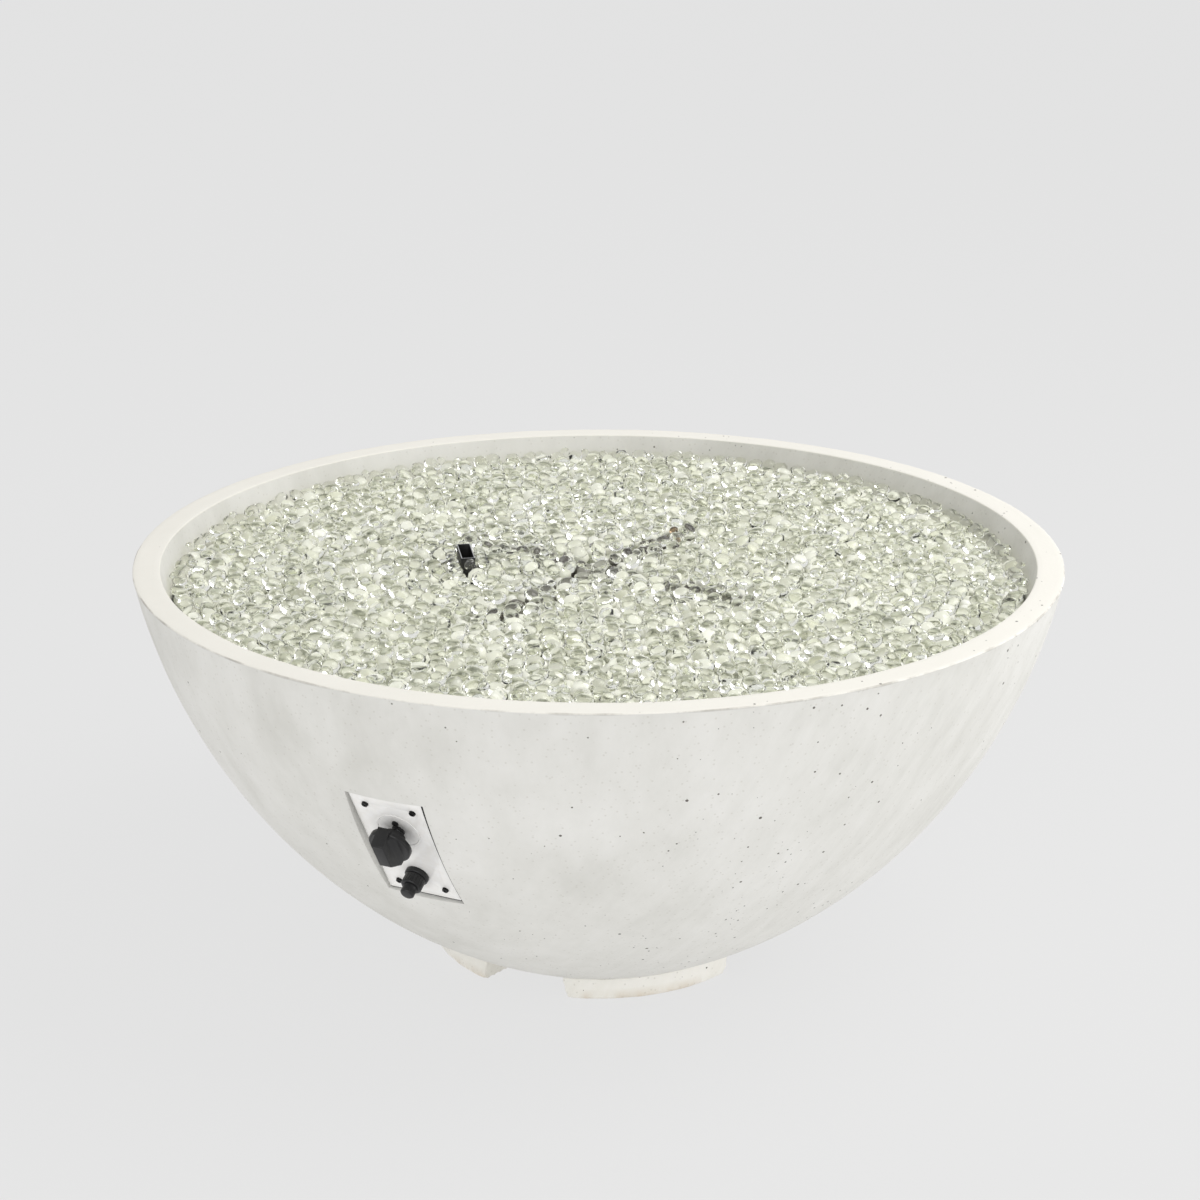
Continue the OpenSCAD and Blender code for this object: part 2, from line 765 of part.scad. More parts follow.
module gem_layer() {
    hollows = [for (ring = [1:gem_last]) for (i = [0:strip_size(ring) - 1]) hollow(ring, i)];
    tops = [for (ring = [0:gem_last - 1]) for (i = [0:max(6 * ring, 1) - 1]) gem_top(ring, i)];
    rings = concat([[0:5]], [
        for (ring = [1:gem_last - 1]) for (sector = [0:5]) for (b = [0:ring - 1]) around(ring, sector, b)
    ]);
    slopes = [for (g = [0:len(tops) - 1]) let (ring = [for (h = rings[g]) h])
        for (k = [0:5]) [len(hollows) + g, ring[(k + 1) % 6], ring[k]]];
    edge = [for (i = [0:strip_size(gem_last) - 1]) strip_spot(gem_last, i)];
    polyhedron(concat(hollows, tops), concat(slopes, [edge]), convexity = 6);
}

module glass_bed() {
    r = tray_r - tray_t - glass_gap;
    step_z = lip_top + glass_gap;
    color("#c9d0c8", 0.8) difference() {
        intersection() {
            rotate_extrude() polygon([
                [0, tray_top], [r, tray_top], [r, step_z],
                [rim_inside(step_z) - glass_gap, step_z], [rim_in_r - glass_gap, bowl_h], [0, bowl_h]
            ]);
            gem_layer();
        }
        glass_cuts();
    }
}

// Burner
// The lighting tube leaves the arm that lies next to the hood and ends inside the hood's end
hood_angle = hood_turn - burner_turn;
lighter_x = hood_in_burner[0] + (hood_l / 2 - 2) * cos(hood_angle);
lighter_y = hood_in_burner[1] + (hood_l / 2 - 2) * sin(hood_angle);

module lighter_way(r) {
    rotate([0, 0, burner_turn])
        translate([lighter_x, 0, arm_z]) rotate([90, 0, 0]) cylinder(r = r, h = -lighter_y);
}

module arm_ports() {
    for (i = [0:3], j = [0:port_count], side = [-1, 1])
        rotate([0, 0, burner_turn + 90 * i])
            translate([first_port + j * port_pitch, 0, arm_z])
                rotate([side * port_lean, 0, 0]) cylinder(d = port_d, h = arm_d, $fn = 24);
}

module burner_cross() {
    bore_low = hub_low + arm_wall;
    color(steel) difference() {
        union() {
            translate([0, 0, hub_low]) cylinder(r = hub_r, h = hub_top - hub_low);
            for (i = [0:3])
                rotate([0, 0, burner_turn + 90 * i])
                    translate([arm_root, 0, arm_z]) rotate([0, 90, 0])
                        cylinder(r = arm_r, h = arm_l - arm_root);
            lighter_way(lighter_d / 2);
        }
        translate([0, 0, bore_low]) cylinder(r = hub_r - arm_wall, h = hub_top - arm_wall - bore_low);
        for (i = [0:3])
            rotate([0, 0, burner_turn + 90 * i])
                translate([arm_root, 0, arm_z]) rotate([0, 90, 0])
                    cylinder(r = arm_bore_r, h = arm_l - arm_root + past);
        lighter_bore();
        translate([0, 0, hub_low - past]) cylinder(r = mixer_r + slip, h = arm_wall + 2 * past);
        arm_ports();
    }
}

module lighter_bore() {
    rotate([0, 0, burner_turn])
        translate([lighter_x, 0, arm_z]) rotate([90, 0, 0])
            cylinder(r = lighter_d / 2 - arm_wall, h = past - lighter_y);
}

module burner_end_caps() {
    color(steel) for (i = [0:3])
        rotate([0, 0, burner_turn + 90 * i]) translate([arm_l, 0, arm_z]) rotate([0, 90, 0]) {
            cylinder(r = arm_r, h = cap_lip);
            translate([0, 0, -cap_plug]) cylinder(r = arm_bore_r - slip, h = cap_plug + cap_lip / 2);
        }
}

module burner_saddles() {
    color(steel) at_saddles() translate([0, 0, tray_top]) difference() {
        union() {
            translate([-saddle_l / 2, -saddle_w / 2, 0]) cube([saddle_l, saddle_w, saddle_foot_t]);
            translate([-saddle_l / 2, -arm_r - 2, 0]) cube([saddle_l, arm_d + 4, saddle_rise]);
        }
        translate([-saddle_l, 0, arm_lift + arm_r]) rotate([0, 90, 0])
            cylinder(r = arm_r + slip, h = 2 * saddle_l);
        for (side = [-1, 1])
            translate([0, side * saddle_screw_x, -past])
                cylinder(r = screw_d / 2 + play, h = saddle_foot_t + 2 * past);
    }
}

module saddle_screws() {
    color(steel) at_saddle_screws() translate([0, 0, tray_top + saddle_foot_t])
        pan_screw(saddle_foot_t + tray_t + 6);
}

// Mixing tube, jet and air shutter
module air_windows() {
    for (turn = [0, 90])
        rotate([0, 0, turn])
            translate([-mixer_d, -air_w / 2, air_z]) cube([2 * mixer_d, air_w, air_h]);
}

module mixing_tube() {
    color(steel) difference() {
        translate([0, 0, mixer_low]) ring(mixer_r, mixer_bore_r, mixer_top - mixer_low);
        air_windows();
    }
}

module mixer_lock_nuts() {
    color(steel) for (z = [tray_top, shelf_z - locknut_h])
        translate([0, 0, z]) difference() {
            hexagon(locknut_af, locknut_h);
            translate([0, 0, -past]) cylinder(r = mixer_r + slip, h = locknut_h + 2 * past);
        }
}

module air_shutter() {
    color(alloy) difference() {
        union() {
            translate([0, 0, shutter_low]) ring(shutter_r, mixer_r + slip, shutter_l);
            rotate([0, 0, 45]) translate([mixer_r + shutter_wall / 2, -3, shutter_low])
                cube([shutter_tab, 6, 12]);
        }
        air_windows();
        rotate([0, 0, 45])
            translate([mixer_r + shutter_wall + shutter_tab / 2, -past - 3, shutter_screw_z])
                rotate([-90, 0, 0]) cylinder(r = screw_d / 2 + slip, h = 6 + 2 * past);
        translate([0, 0, shutter_low - past]) cylinder(r = mixer_r + slip, h = shutter_l + 2 * past);
    }
}

module shutter_screw() {
    color(steel) rotate([0, 0, 45])
        translate([mixer_r + shutter_wall + shutter_tab / 2, 3, shutter_screw_z])
            rotate([-90, 0, 0]) pan_screw(8);
}

module gas_jet() {
    color(brass) translate([0, 0, jet_z]) difference() {
        union() {
            hexagon(jet_hex_af, jet_hex_h);
            translate([0, 0, jet_hex_h - past]) cylinder(r1 = jet_tip, r2 = jet_tip / 2, h = jet_tip);
            translate([0, 0, -jet_tip]) cylinder(r = gas_bore_r - slip, h = jet_tip + past);
        }
        translate([0, 0, -jet_hex_h]) cylinder(r = gas_bore_r / 2, h = 2 * jet_hex_h);
        translate([0, 0, jet_hex_h - past]) cylinder(d = jet_orifice_d, h = jet_tip + past, $fn = 24);
    }
}

module jet_elbow() {
    z = mixer_low - elbow_drop;
    color(brass) difference() {
        union() {
            translate([0, 0, mixer_low - elbow_flange_t]) cylinder(r = elbow_flange_r, h = elbow_flange_t);
            translate([0, 0, mixer_low - past]) cylinder(r = mixer_bore_r - slip, h = spigot_h + past);
            translate([0, 0, z - elbow_r]) cylinder(r = elbow_r, h = elbow_drop + elbow_r - past);
            translate([0, 0, z]) rotate([90, 0, 0]) cylinder(r = elbow_side_r, h = elbow_side_l);
        }
        translate([0, 0, z]) cylinder(r = gas_bore_r, h = elbow_drop + spigot_h + past);
        translate([0, 0, z]) rotate([90, 0, 0]) cylinder(r = gas_bore_r, h = elbow_side_l + past);
    }
}

module supply_tube() {
    color(alloy) swept(rounded_path(supply_route, supply_bend), tube_r, 12, aside_of_runs);
}

module tube_nut() {
    difference() {
        hexagon(tube_nut_af, tube_nut_l);
        translate([0, 0, -past]) cylinder(r = tube_r + play, h = tube_nut_l + 2 * past);
    }
}

module tube_nuts() {
    color(brass) {
        translate(elbow_inlet) rotate([90, 0, 0]) tube_nut();
        at_panel(knob_up) translate([valve_w / 2, 0, port_low]) rotate([0, 90, 0]) tube_nut();
    }
}

// Ignition hood and probes
module ignition_hood() {
    inside = [hood_l - 2 * hood_sheet, hood_w - 2 * hood_sheet];
    color(black) difference() {
        at_hood() {
            difference() {
                translate([-hood_l / 2, -hood_w / 2, tray_top]) cube([hood_l, hood_w, hood_top - tray_top]);
                translate([-inside[0] / 2, -inside[1] / 2, tray_top - past])
                    cube([inside[0], inside[1], bowl_h]);
                for (i = [-1:1])
                    translate([i * hood_slot_pitch - hood_slot_w / 2, -hood_w, hood_slot_z])
                        cube([hood_slot_w, 2 * hood_w, hood_slot_h]);
            }
            for (side = [-1, 1]) difference() {
                translate([-hood_tab_l / 2, side * (hood_w + hood_tab - hood_sheet) / 2
                           - (hood_tab + hood_sheet) / 2, tray_top])
                    cube([hood_tab_l, hood_tab + hood_sheet, hood_sheet]);
                translate([0, side * hood_screw_y, tray_top - past])
                    cylinder(r = screw_d / 2 + play, h = hood_sheet + 2 * past);
                translate([-hood_l / 2, -inside[1] / 2, tray_top - past])
                    cube([hood_l, inside[1], hood_sheet + 2 * past]);
            }
        }
        lighter_way(lighter_d / 2 + ease);
    }
}

module hood_screws() {
    color(steel) at_hood_screws() translate([0, 0, tray_top + hood_sheet])
        pan_screw(hood_sheet + tray_t + 6);
}

module probe_bracket() {
    color(steel) at_hood() difference() {
        union() {
            translate([-bracket_l / 2, -bracket_w / 2, bracket_z]) cube([bracket_l, bracket_w, hood_sheet]);
            for (side = [-1, 1])
                translate([side * (bracket_l - hood_sheet) / 2 - hood_sheet / 2, -bracket_w / 2, tray_top])
                    cube([hood_sheet, bracket_w, bracket_z - tray_top + hood_sheet]);
        }
        translate([electrode_at, 0, bracket_z - past]) cylinder(r = ceramic_r + play, h = 4 * past);
        translate([probe_at, 0, bracket_z - past]) cylinder(r = probe_r + play, h = 4 * past);
    }
}

module electrode_ceramic() {
    seat = bracket_z + hood_sheet;
    color("#f2efe6") at_hood() translate([electrode_at, 0, 0]) difference() {
        union() {
            translate([0, 0, ceramic_low]) cylinder(r = ceramic_r, h = ceramic_top - ceramic_low);
            translate([0, 0, seat]) cylinder(r = ceramic_r + 1.2, h = 5);
        }
        translate([0, 0, ceramic_low - past])
            cylinder(r = rod_r + slip, h = ceramic_top - ceramic_low + 2 * past);
    }
}

module electrode_rod() {
    color(steel) at_hood() translate([electrode_at, 0, 0]) {
        translate([0, 0, rod_low]) cylinder(r = rod_r, h = rod_top - rod_low);
        translate([0, 0, rod_top]) sphere(rod_r);
        translate([0, 0, rod_low]) cylinder(r = wire_r + 0.4, h = ceramic_low - rod_low - ease);
    }
}

module igniter_wire() {
    color("#7d2a20") swept(rounded_path(wire_route, lead_bend), wire_r, 8, aside_of_runs);
}

module thermocouple_probe() {
    seat = bracket_z + hood_sheet;
    color(steel) at_hood() translate([probe_at, 0, 0]) {
        translate([0, 0, probe_low]) cylinder(r = probe_r, h = seat - probe_low + past);
        translate([0, 0, seat]) cylinder(r = probe_r + 1.2, h = 4);
        translate([0, 0, seat]) cylinder(r = probe_r - 0.6, h = probe_top - seat);
        translate([0, 0, probe_top]) sphere(probe_r - 0.6);
    }
}

module thermocouple_lead() {
    color(copper) swept(rounded_path(lead_route, lead_bend), lead_r, 8, aside_of_runs);
}

module thermocouple_nut() {
    color(brass) at_panel(knob_up) translate([0, 0, magnet_low - nut_hex_l]) difference() {
        union() {
            hexagon(nut_hex_af, nut_hex_l);
            cylinder(r = nut_thread_r - slip, h = nut_hex_l + nut_thread_l);
        }
        translate([0, 0, past]) cylinder(r = lead_r + ease, h = nut_hex_l + nut_thread_l);
    }
}

// Each clip hangs from the tray and carries both leads side by side
module lead_clips() {
    low = run_z - clip_rise;
    color(alloy) for (way = clip_ways)
        translate([way[0], way[1], 0]) rotate([0, 0, clip_turn]) difference() {
            union() {
                translate([-clip_l / 2, -clip_w / 2, low]) cube([clip_l, clip_w, 2 * clip_rise]);
                translate([-clip_l / 2, -hood_sheet / 2, low])
                    cube([clip_l, hood_sheet, shelf_z - low]);
                translate([-clip_l / 2, -clip_w / 2, shelf_z - hood_sheet])
                    cube([clip_l, clip_w, hood_sheet]);
            }
            for (side = [-1, 1])
                translate([-clip_l, side * norm(wire_aside), run_z])
                    rotate([0, 90, 0]) cylinder(r = wire_r + play, h = 2 * clip_l);
        }
}

// Control panel
module control_panel() {
    color("#ebe8e1") at_panel() translate([0, 0, -panel_t]) difference() {
        linear_extrude(panel_t) rounded_plate(panel_w, panel_h, panel_corner);
        translate([0, 0, -past]) {
            at_panel_screws() cylinder(r = screw_d / 2 + play, h = panel_t + 2 * past);
            translate([0, knob_up, 0]) {
                cylinder(r = bezel_spigot_r + slip, h = panel_t + 2 * past);
                for (side = [-1, 1])
                    translate([0, side * valve_screw_at, 0])
                        cylinder(r = screw_d / 2 + play, h = panel_t + 2 * past);
            }
            translate([0, -igniter_down, 0]) cylinder(r = barrel_r + play, h = panel_t + 2 * past);
        }
    }
}

module panel_screws() {
    color(black) at_panel() at_panel_screws() pan_screw(screw_l);
}

module panel_anchors() {
    color(brass) at_panel() translate([0, 0, -panel_t - anchor_l])
        at_panel_screws() ring(anchor_d / 2, screw_d / 2 + slip, anchor_l);
}

// Gas valve
module gas_valve_body() {
    color(alloy) at_panel(knob_up) difference() {
        translate([-valve_w / 2, -valve_h / 2, valve_low])
            cube([valve_w, valve_h, valve_face - valve_low]);
        translate([0, 0, stem_shoulder - past])
            cylinder(r = stem_r + slip, h = valve_face - stem_shoulder + 2 * past);
        translate([0, 0, chamber_low]) cylinder(r = plug_r + slip, h = stem_shoulder - chamber_low);
        translate([0, 0, valve_low - past]) cylinder(r = magnet_r + slip, h = magnet_seat + past);
        for (side = [-1, 1])
            translate([0, side * valve_screw_at, valve_face - valve_screw_l])
                cylinder(r = screw_d / 2 + slip, h = valve_screw_l + past);
        translate([0, 0, port_low]) rotate([0, 90, 0]) cylinder(r = gas_bore_r, h = valve_w);
        translate([0, 0, port_low]) rotate([0, -90, 0]) {
            cylinder(r = gas_bore_r, h = valve_w);
            translate([0, 0, valve_w / 2 - port_thread_l])
                cylinder(r = port_thread_r + slip, h = port_thread_l + past);
        }
    }
}

module valve_screws() {
    color(black) at_panel(knob_up) for (side = [-1, 1])
        translate([0, side * valve_screw_at, 0]) pan_screw(valve_screw_l - 1);
}

module valve_plug() {
    color(brass) at_panel(knob_up) difference() {
        translate([0, 0, plug_low]) cylinder(r = plug_r, h = plug_top - plug_low);
        translate([0, 0, plug_low - past])
            tang(stem_r + play, tang_t + 2 * play, plug_top - plug_low + 2 * past);
        translate([0, 0, port_low]) rotate([90, 0, 0]) cylinder(r = gas_bore_r, h = plug_d, center = true);
    }
}

// The stem's flat-sided end, and the slot that takes it
module tang(r, t, h) {
    intersection() {
        cylinder(r = r, h = h);
        translate([-t / 2, -2 * r, 0]) cube([t, 4 * r, h]);
    }
}

module valve_stem() {
    color(steel) at_panel(knob_up) {
        difference() {
            translate([0, 0, collar_low]) cylinder(r = stem_r, h = stem_top - collar_low);
            translate([-stem_d, stem_flat, knob_hollow_top]) cube([2 * stem_d, stem_d, knob_top]);
        }
        translate([0, 0, collar_low]) cylinder(r = collar_r, h = collar_t);
        translate([0, 0, tang_low]) tang(stem_r, tang_t, collar_low - tang_low + collar_t / 2);
    }
}

module stem_spring() {
    color(steel) at_panel(knob_up) translate([0, 0, plug_top + play])
        coil(stem_r + 1.2, 0.45, collar_low - plug_top - 2 * play, 6);
}

module magnet_unit() {
    color(brass) at_panel(knob_up) difference() {
        union() {
            translate([0, 0, valve_low - play]) cylinder(r = magnet_r, h = magnet_seat);
            translate([0, 0, valve_low - magnet_flange_t]) cylinder(r = magnet_flange_r, h = magnet_flange_t);
            translate([0, 0, magnet_low]) cylinder(r = magnet_can_r, h = valve_low - magnet_low - past);
        }
        translate([0, 0, magnet_low - past]) cylinder(r = nut_thread_r, h = nut_thread_l + ease + past);
    }
}

module inlet_fitting() {
    color(brass) at_panel(knob_up) translate([-valve_w / 2, 0, port_low]) rotate([0, -90, 0]) difference() {
        union() {
            translate([0, 0, -port_thread_l + ease]) cylinder(r = port_thread_r, h = port_thread_l + past);
            hexagon(port_hex_af, port_hex_l);
            translate([0, 0, port_hex_l - past]) cylinder(d = inlet_d, h = inlet_l + past);
        }
        translate([0, 0, -port_thread_l])
            cylinder(r = gas_bore_r, h = port_thread_l + port_hex_l + inlet_l + past);
        translate([0, 0, port_hex_l + inlet_l - inlet_flare])
            cylinder(r1 = gas_bore_r, r2 = inlet_d / 2 - 1, h = inlet_flare + past / 4);
    }
}

// Knob
module stem_bezel() {
    color(black) at_panel(knob_up) difference() {
        union() {
            cylinder(d1 = bezel_d, d2 = bezel_d - 1, h = bezel_h);
            translate([0, 0, -panel_t]) cylinder(r = bezel_spigot_r, h = panel_t + past / 2);
        }
        translate([0, 0, -panel_t - past]) cylinder(r = stem_r + 0.5, h = panel_t + bezel_h + 2 * past);
    }
}

// The grip seen from the side: its upper end leans in and its lower end slopes
module grip_side() {
    face_end = grip_head - grip_lean;
    polygon([
        [-grip_tail, grip_low], [grip_head, grip_low],
        [face_end + grip_lean * grip_edge / (knob_top - grip_low), knob_top - grip_edge],
        [face_end - grip_edge, knob_top], [grip_slope - grip_tail, knob_top],
        [-grip_tail, knob_top - grip_slope]
    ]);
}

// The grip seen from its end, with the edges of its face cut
module grip_end() {
    half = grip_w / 2;
    polygon([
        [-half, grip_low], [half, grip_low], [half, knob_top - grip_edge],
        [half - grip_edge, knob_top], [grip_edge - half, knob_top], [-half, knob_top - grip_edge]
    ]);
}

// The hollows that lead from the grip's sides to the skirt, seen from the grip's end
module grip_hollows() {
    low = skirt_z + skirt_t - ease;
    half = grip_w / 2 + grip_flare - ease;
    difference() {
        translate([-half, low - past]) square([2 * half, grip_flare + past]);
        for (side = [-1, 1]) translate([side * half, low + grip_flare]) circle(grip_flare);
    }
}

module grip() {
    intersection() {
        rotate([90, 0, 90]) linear_extrude(skirt_d, center = true) grip_side();
        union() {
            rotate([90, 0, 0]) linear_extrude(2 * skirt_d, center = true) grip_end();
            intersection() {
                rotate([90, 0, 0]) linear_extrude(2 * skirt_d, center = true) grip_hollows();
                cylinder(d = skirt_d - 2 * skirt_rim, h = knob_top);
            }
        }
    }
}

module control_knob() {
    socket_h = stem_top - knob_hollow_top + ease;
    color(black) at_panel(knob_up) difference() {
        union() {
            rotate_extrude() translate([0, skirt_z]) difference() {
                square([skirt_d / 2, skirt_t]);
                translate([skirt_d / 2, skirt_t]) rotate(45) square(skirt_rim, center = true);
            }
            translate([0, 0, knob_low]) cylinder(d = knob_neck_d, h = skirt_z - knob_low + past);
            grip();
        }
        translate([0, 0, knob_low - past]) cylinder(r = knob_hollow_r, h = knob_hollow_top - knob_low + past);
        translate([0, 0, knob_hollow_top - past]) intersection() {
            cylinder(r = stem_r + slip, h = socket_h + past);
            translate([-stem_d, knob_flat - 2 * stem_d, 0]) cube([2 * stem_d, 2 * stem_d, socket_h + past]);
        }
    }
}

module knob_clip() {
    w = 2 * sqrt(stem_r * stem_r - knob_flat * knob_flat) - 2 * play;
    color(steel) at_panel(knob_up)
        translate([-w / 2, stem_flat + slip, knob_hollow_top + play])
            cube([w, clip_t, stem_top - knob_hollow_top - 2 * play]);
}

// Igniter
module igniter_body() {
    color(black) at_panel(-igniter_down) difference() {
        union() {
            rotate_extrude() difference() {
                square([flange_d / 2, flange_t]);
                translate([flange_d / 2, flange_t]) rotate(45) square(1.6, center = true);
            }
            translate([0, 0, igniter_low]) cylinder(r = barrel_r, h = -igniter_low + past);
            cylinder(r = neck_r, h = neck_top);
        }
        translate([0, 0, cell_low]) cylinder(r = cell_r, h = neck_top - cell_low + past);
    }
}

module igniter_nut() {
    color(black) at_panel(-igniter_down) translate([0, 0, -panel_t - igniter_nut_t]) difference() {
        cylinder(d = flange_d, h = igniter_nut_t);
        translate([0, 0, -past]) cylinder(r = barrel_r + slip, h = igniter_nut_t + 2 * past);
        for (i = [0:5])
            rotate([0, 0, 60 * i]) translate([flange_d / 2, 0, -past])
                cylinder(r = nut_notch_r, h = igniter_nut_t + 2 * past);
    }
}

module battery() {
    nub = 1.4;
    color("#b58b3f") at_panel(-igniter_down) {
        translate([0, 0, battery_low]) cylinder(d = battery_d, h = battery_l - nub);
        translate([0, 0, flange_t - 2 * nub]) cylinder(r = 2.7, h = 2 * nub);
    }
}

module battery_spring() {
    color(steel) at_panel(-igniter_down) translate([0, 0, cell_low])
        coil(4.5, 0.4, battery_low - cell_low, 4);
}

module cap_seal() {
    color(black) at_panel(-igniter_down) translate([0, 0, flange_t + seal_wire_r + ease / 2])
        rotate_extrude() translate([seal_r, 0]) circle(seal_wire_r);
}

module igniter_cap() {
    color(black) at_panel(-igniter_down) difference() {
        rotate_extrude() difference() {
            translate([0, cap_low]) square([cap_d / 2, cap_top - cap_low]);
            translate([cap_d / 2, cap_top]) rotate(45) square(1.6, center = true);
        }
        translate([0, 0, cap_low - past]) {
            cylinder(r = neck_r + slip, h = cap_ceiling - cap_low + past);
            cylinder(r = button_r + play, h = cap_top);
            cylinder(r = seal_r + seal_wire_r + ease, h = seal_pocket + past);
        }
        for (i = [0:cap_ribs - 1])
            rotate([0, 0, 360 * i / cap_ribs])
                translate([cap_d / 2 + 0.4, 0, cap_low + 2.4]) cylinder(r = 0.8, h = cap_top, $fn = 24);
    }
}

module igniter_button() {
    color(black) at_panel(-igniter_down) difference() {
        union() {
            rotate_extrude() difference() {
                translate([0, button_flange_low]) square([button_r, button_top - button_flange_low]);
                translate([button_r, button_top]) rotate(45) square(2, center = true);
            }
            translate([0, 0, button_flange_low])
                cylinder(r = button_flange_r, h = button_flange_top - button_flange_low);
        }
        for (i = [0:button_ribs - 1])
            translate([0, 0, cap_top + button_travel + 0.4 + 1.3 * i]) rotate_extrude()
                translate([button_r, 0]) circle(0.35, $fn = 24);
    }
}

module button_spring() {
    color(steel) at_panel(-igniter_down) translate([0, 0, flange_t + play])
        coil(4.2, 0.4, button_flange_low - flange_t - 2 * play, 3);
}

bowl_shell();
feet();
burner_tray();
glass_bed();
burner_cross();
burner_end_caps();
burner_saddles();
saddle_screws();
mixing_tube();
mixer_lock_nuts();
air_shutter();
shutter_screw();
gas_jet();
jet_elbow();
supply_tube();
tube_nuts();
ignition_hood();
hood_screws();
probe_bracket();
electrode_ceramic();
electrode_rod();
igniter_wire();
thermocouple_probe();
thermocouple_lead();
thermocouple_nut();
lead_clips();
control_panel();
panel_screws();
panel_anchors();
gas_valve_body();
valve_screws();
valve_plug();
valve_stem();
stem_spring();
magnet_unit();
inlet_fitting();
stem_bezel();
control_knob();
knob_clip();
igniter_body();
igniter_nut();
battery();
battery_spring();
cap_seal();
igniter_cap();
igniter_button();
button_spring();
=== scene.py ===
# %% [markdown]
# A gas fire bowl: a cast concrete bowl on four feet, filled with clear glass gems over a gas
# burner, with a recessed white panel that carries a gas knob and a push-button igniter.
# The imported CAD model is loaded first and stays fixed. Each later cell dresses one piece of it
# or sets it under studio light. All lengths are in metres, with Z up and the panel facing -Y.

# %% Load the frame
import math
import random

import bpy
import numpy as np
from mathutils import Matrix, Vector


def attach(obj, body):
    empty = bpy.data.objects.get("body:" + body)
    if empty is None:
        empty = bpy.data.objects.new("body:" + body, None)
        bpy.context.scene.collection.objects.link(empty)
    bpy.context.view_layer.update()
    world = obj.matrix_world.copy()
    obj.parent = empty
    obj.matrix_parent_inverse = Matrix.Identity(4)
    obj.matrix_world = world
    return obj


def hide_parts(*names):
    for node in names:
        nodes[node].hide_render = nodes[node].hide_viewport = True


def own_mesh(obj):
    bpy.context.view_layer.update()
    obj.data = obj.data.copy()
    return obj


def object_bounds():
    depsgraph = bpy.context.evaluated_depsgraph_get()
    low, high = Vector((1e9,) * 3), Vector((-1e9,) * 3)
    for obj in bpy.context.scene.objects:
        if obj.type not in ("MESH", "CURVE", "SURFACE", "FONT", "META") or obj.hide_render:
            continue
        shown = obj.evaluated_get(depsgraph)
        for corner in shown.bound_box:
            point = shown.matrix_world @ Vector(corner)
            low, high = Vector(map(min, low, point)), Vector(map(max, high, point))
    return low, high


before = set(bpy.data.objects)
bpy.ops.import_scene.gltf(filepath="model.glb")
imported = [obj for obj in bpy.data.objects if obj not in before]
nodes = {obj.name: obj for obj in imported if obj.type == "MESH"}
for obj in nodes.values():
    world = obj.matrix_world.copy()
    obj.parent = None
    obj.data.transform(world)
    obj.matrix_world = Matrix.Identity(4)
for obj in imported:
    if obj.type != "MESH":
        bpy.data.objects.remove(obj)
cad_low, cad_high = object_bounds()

MM = 0.001
MERGE = 0.01 * MM
scene = bpy.context.scene

# %% [markdown]
# The camera comes first, because everything after it is judged through it. Its place was worked
# out from the rim's ellipse: the ratio of the ellipse's axes gives the angle above the horizon,
# and the panel's place on the wall gives the angle round the bowl.

# %% Camera
CAMERA_AT = Vector((1.2745, -2.5754, 1.3882))
CAMERA_AIM = Vector((0.0014, 0.0007, 0.4178))
LENS_MM = 77.87
SENSOR_MM = 36

bpy.ops.object.select_all(action="DESELECT")
gaze = (CAMERA_AIM - CAMERA_AT).to_track_quat("-Z", "Y")
bpy.ops.object.camera_add(location=CAMERA_AT, rotation=gaze.to_euler())
camera = bpy.context.object
camera.name = "photo_camera"
camera.data.lens = LENS_MM
camera.data.sensor_width = SENSOR_MM
camera.data.clip_end = 100
scene.camera = camera
print("camera", round((CAMERA_AIM - CAMERA_AT).length, 3), "m from the bowl")

# %% [markdown]
# Colours are written as sRGB hex values, the way a paint card or a picture gives them, and
# Blender's sockets want linear light, so one function turns the first into the second. A second
# small function adds a shader node, sets what it is given and links what is another node's
# output, which keeps each material readable from top to bottom. The others make a colour ramp,
# empty a node tree, start a finish, join a node to its shader and put a finish on a piece.

# %% Helpers for materials
def linear(code):
    parts = [int(code[i:i + 2], 16) / 255 for i in (1, 3, 5)]
    return tuple(p / 12.92 if p <= 0.04045 else ((p + 0.055) / 1.055) ** 2.4 for p in parts) + (1.0,)


def add_node(tree, kind, inputs=None, **settings):
    made = tree.nodes.new("ShaderNode" + kind)
    for name, value in settings.items():
        setattr(made, name, value)
    for name, value in (inputs or {}).items():
        if isinstance(value, bpy.types.NodeSocket):
            tree.links.new(value, made.inputs[name])
        else:
            made.inputs[name].default_value = value
    return made


def ramp(tree, factor, stops):
    made = add_node(tree, "ValToRGB", {"Fac": factor})
    bar = made.color_ramp.elements
    while len(bar) < len(stops):
        bar.new(0.5)
    for spot, (place, code) in zip(bar, stops):
        spot.position = place
        spot.color = linear(code)
    return made.outputs["Color"]


def empty_tree(owner):
    owner.use_nodes = True
    owner.node_tree.nodes.clear()
    return owner.node_tree


def start_finish(name, shader_inputs):
    finish = bpy.data.materials.new(name)
    tree = empty_tree(finish)
    shader = add_node(tree, "BsdfPrincipled", shader_inputs)
    add_node(tree, "OutputMaterial", {"Surface": shader.outputs["BSDF"]})
    place = add_node(tree, "TexCoord").outputs["Object"]
    return finish, tree, shader, place


def join(tree, source, shader, socket):
    tree.links.new(source, shader.inputs[socket])


def dress(piece, finish):
    piece.data.materials.clear()
    piece.data.materials.append(finish)


# %% [markdown]
# A few jobs come back with many pieces: starting a mesh alone and selected, copying a CAD mesh
# with its seams merged, applying a modifier once it is set, turning a profile about an axis as on
# a potter's wheel, and giving a flat strip its thickness. They are small functions here, so that
# the cells that follow are about the pieces themselves.

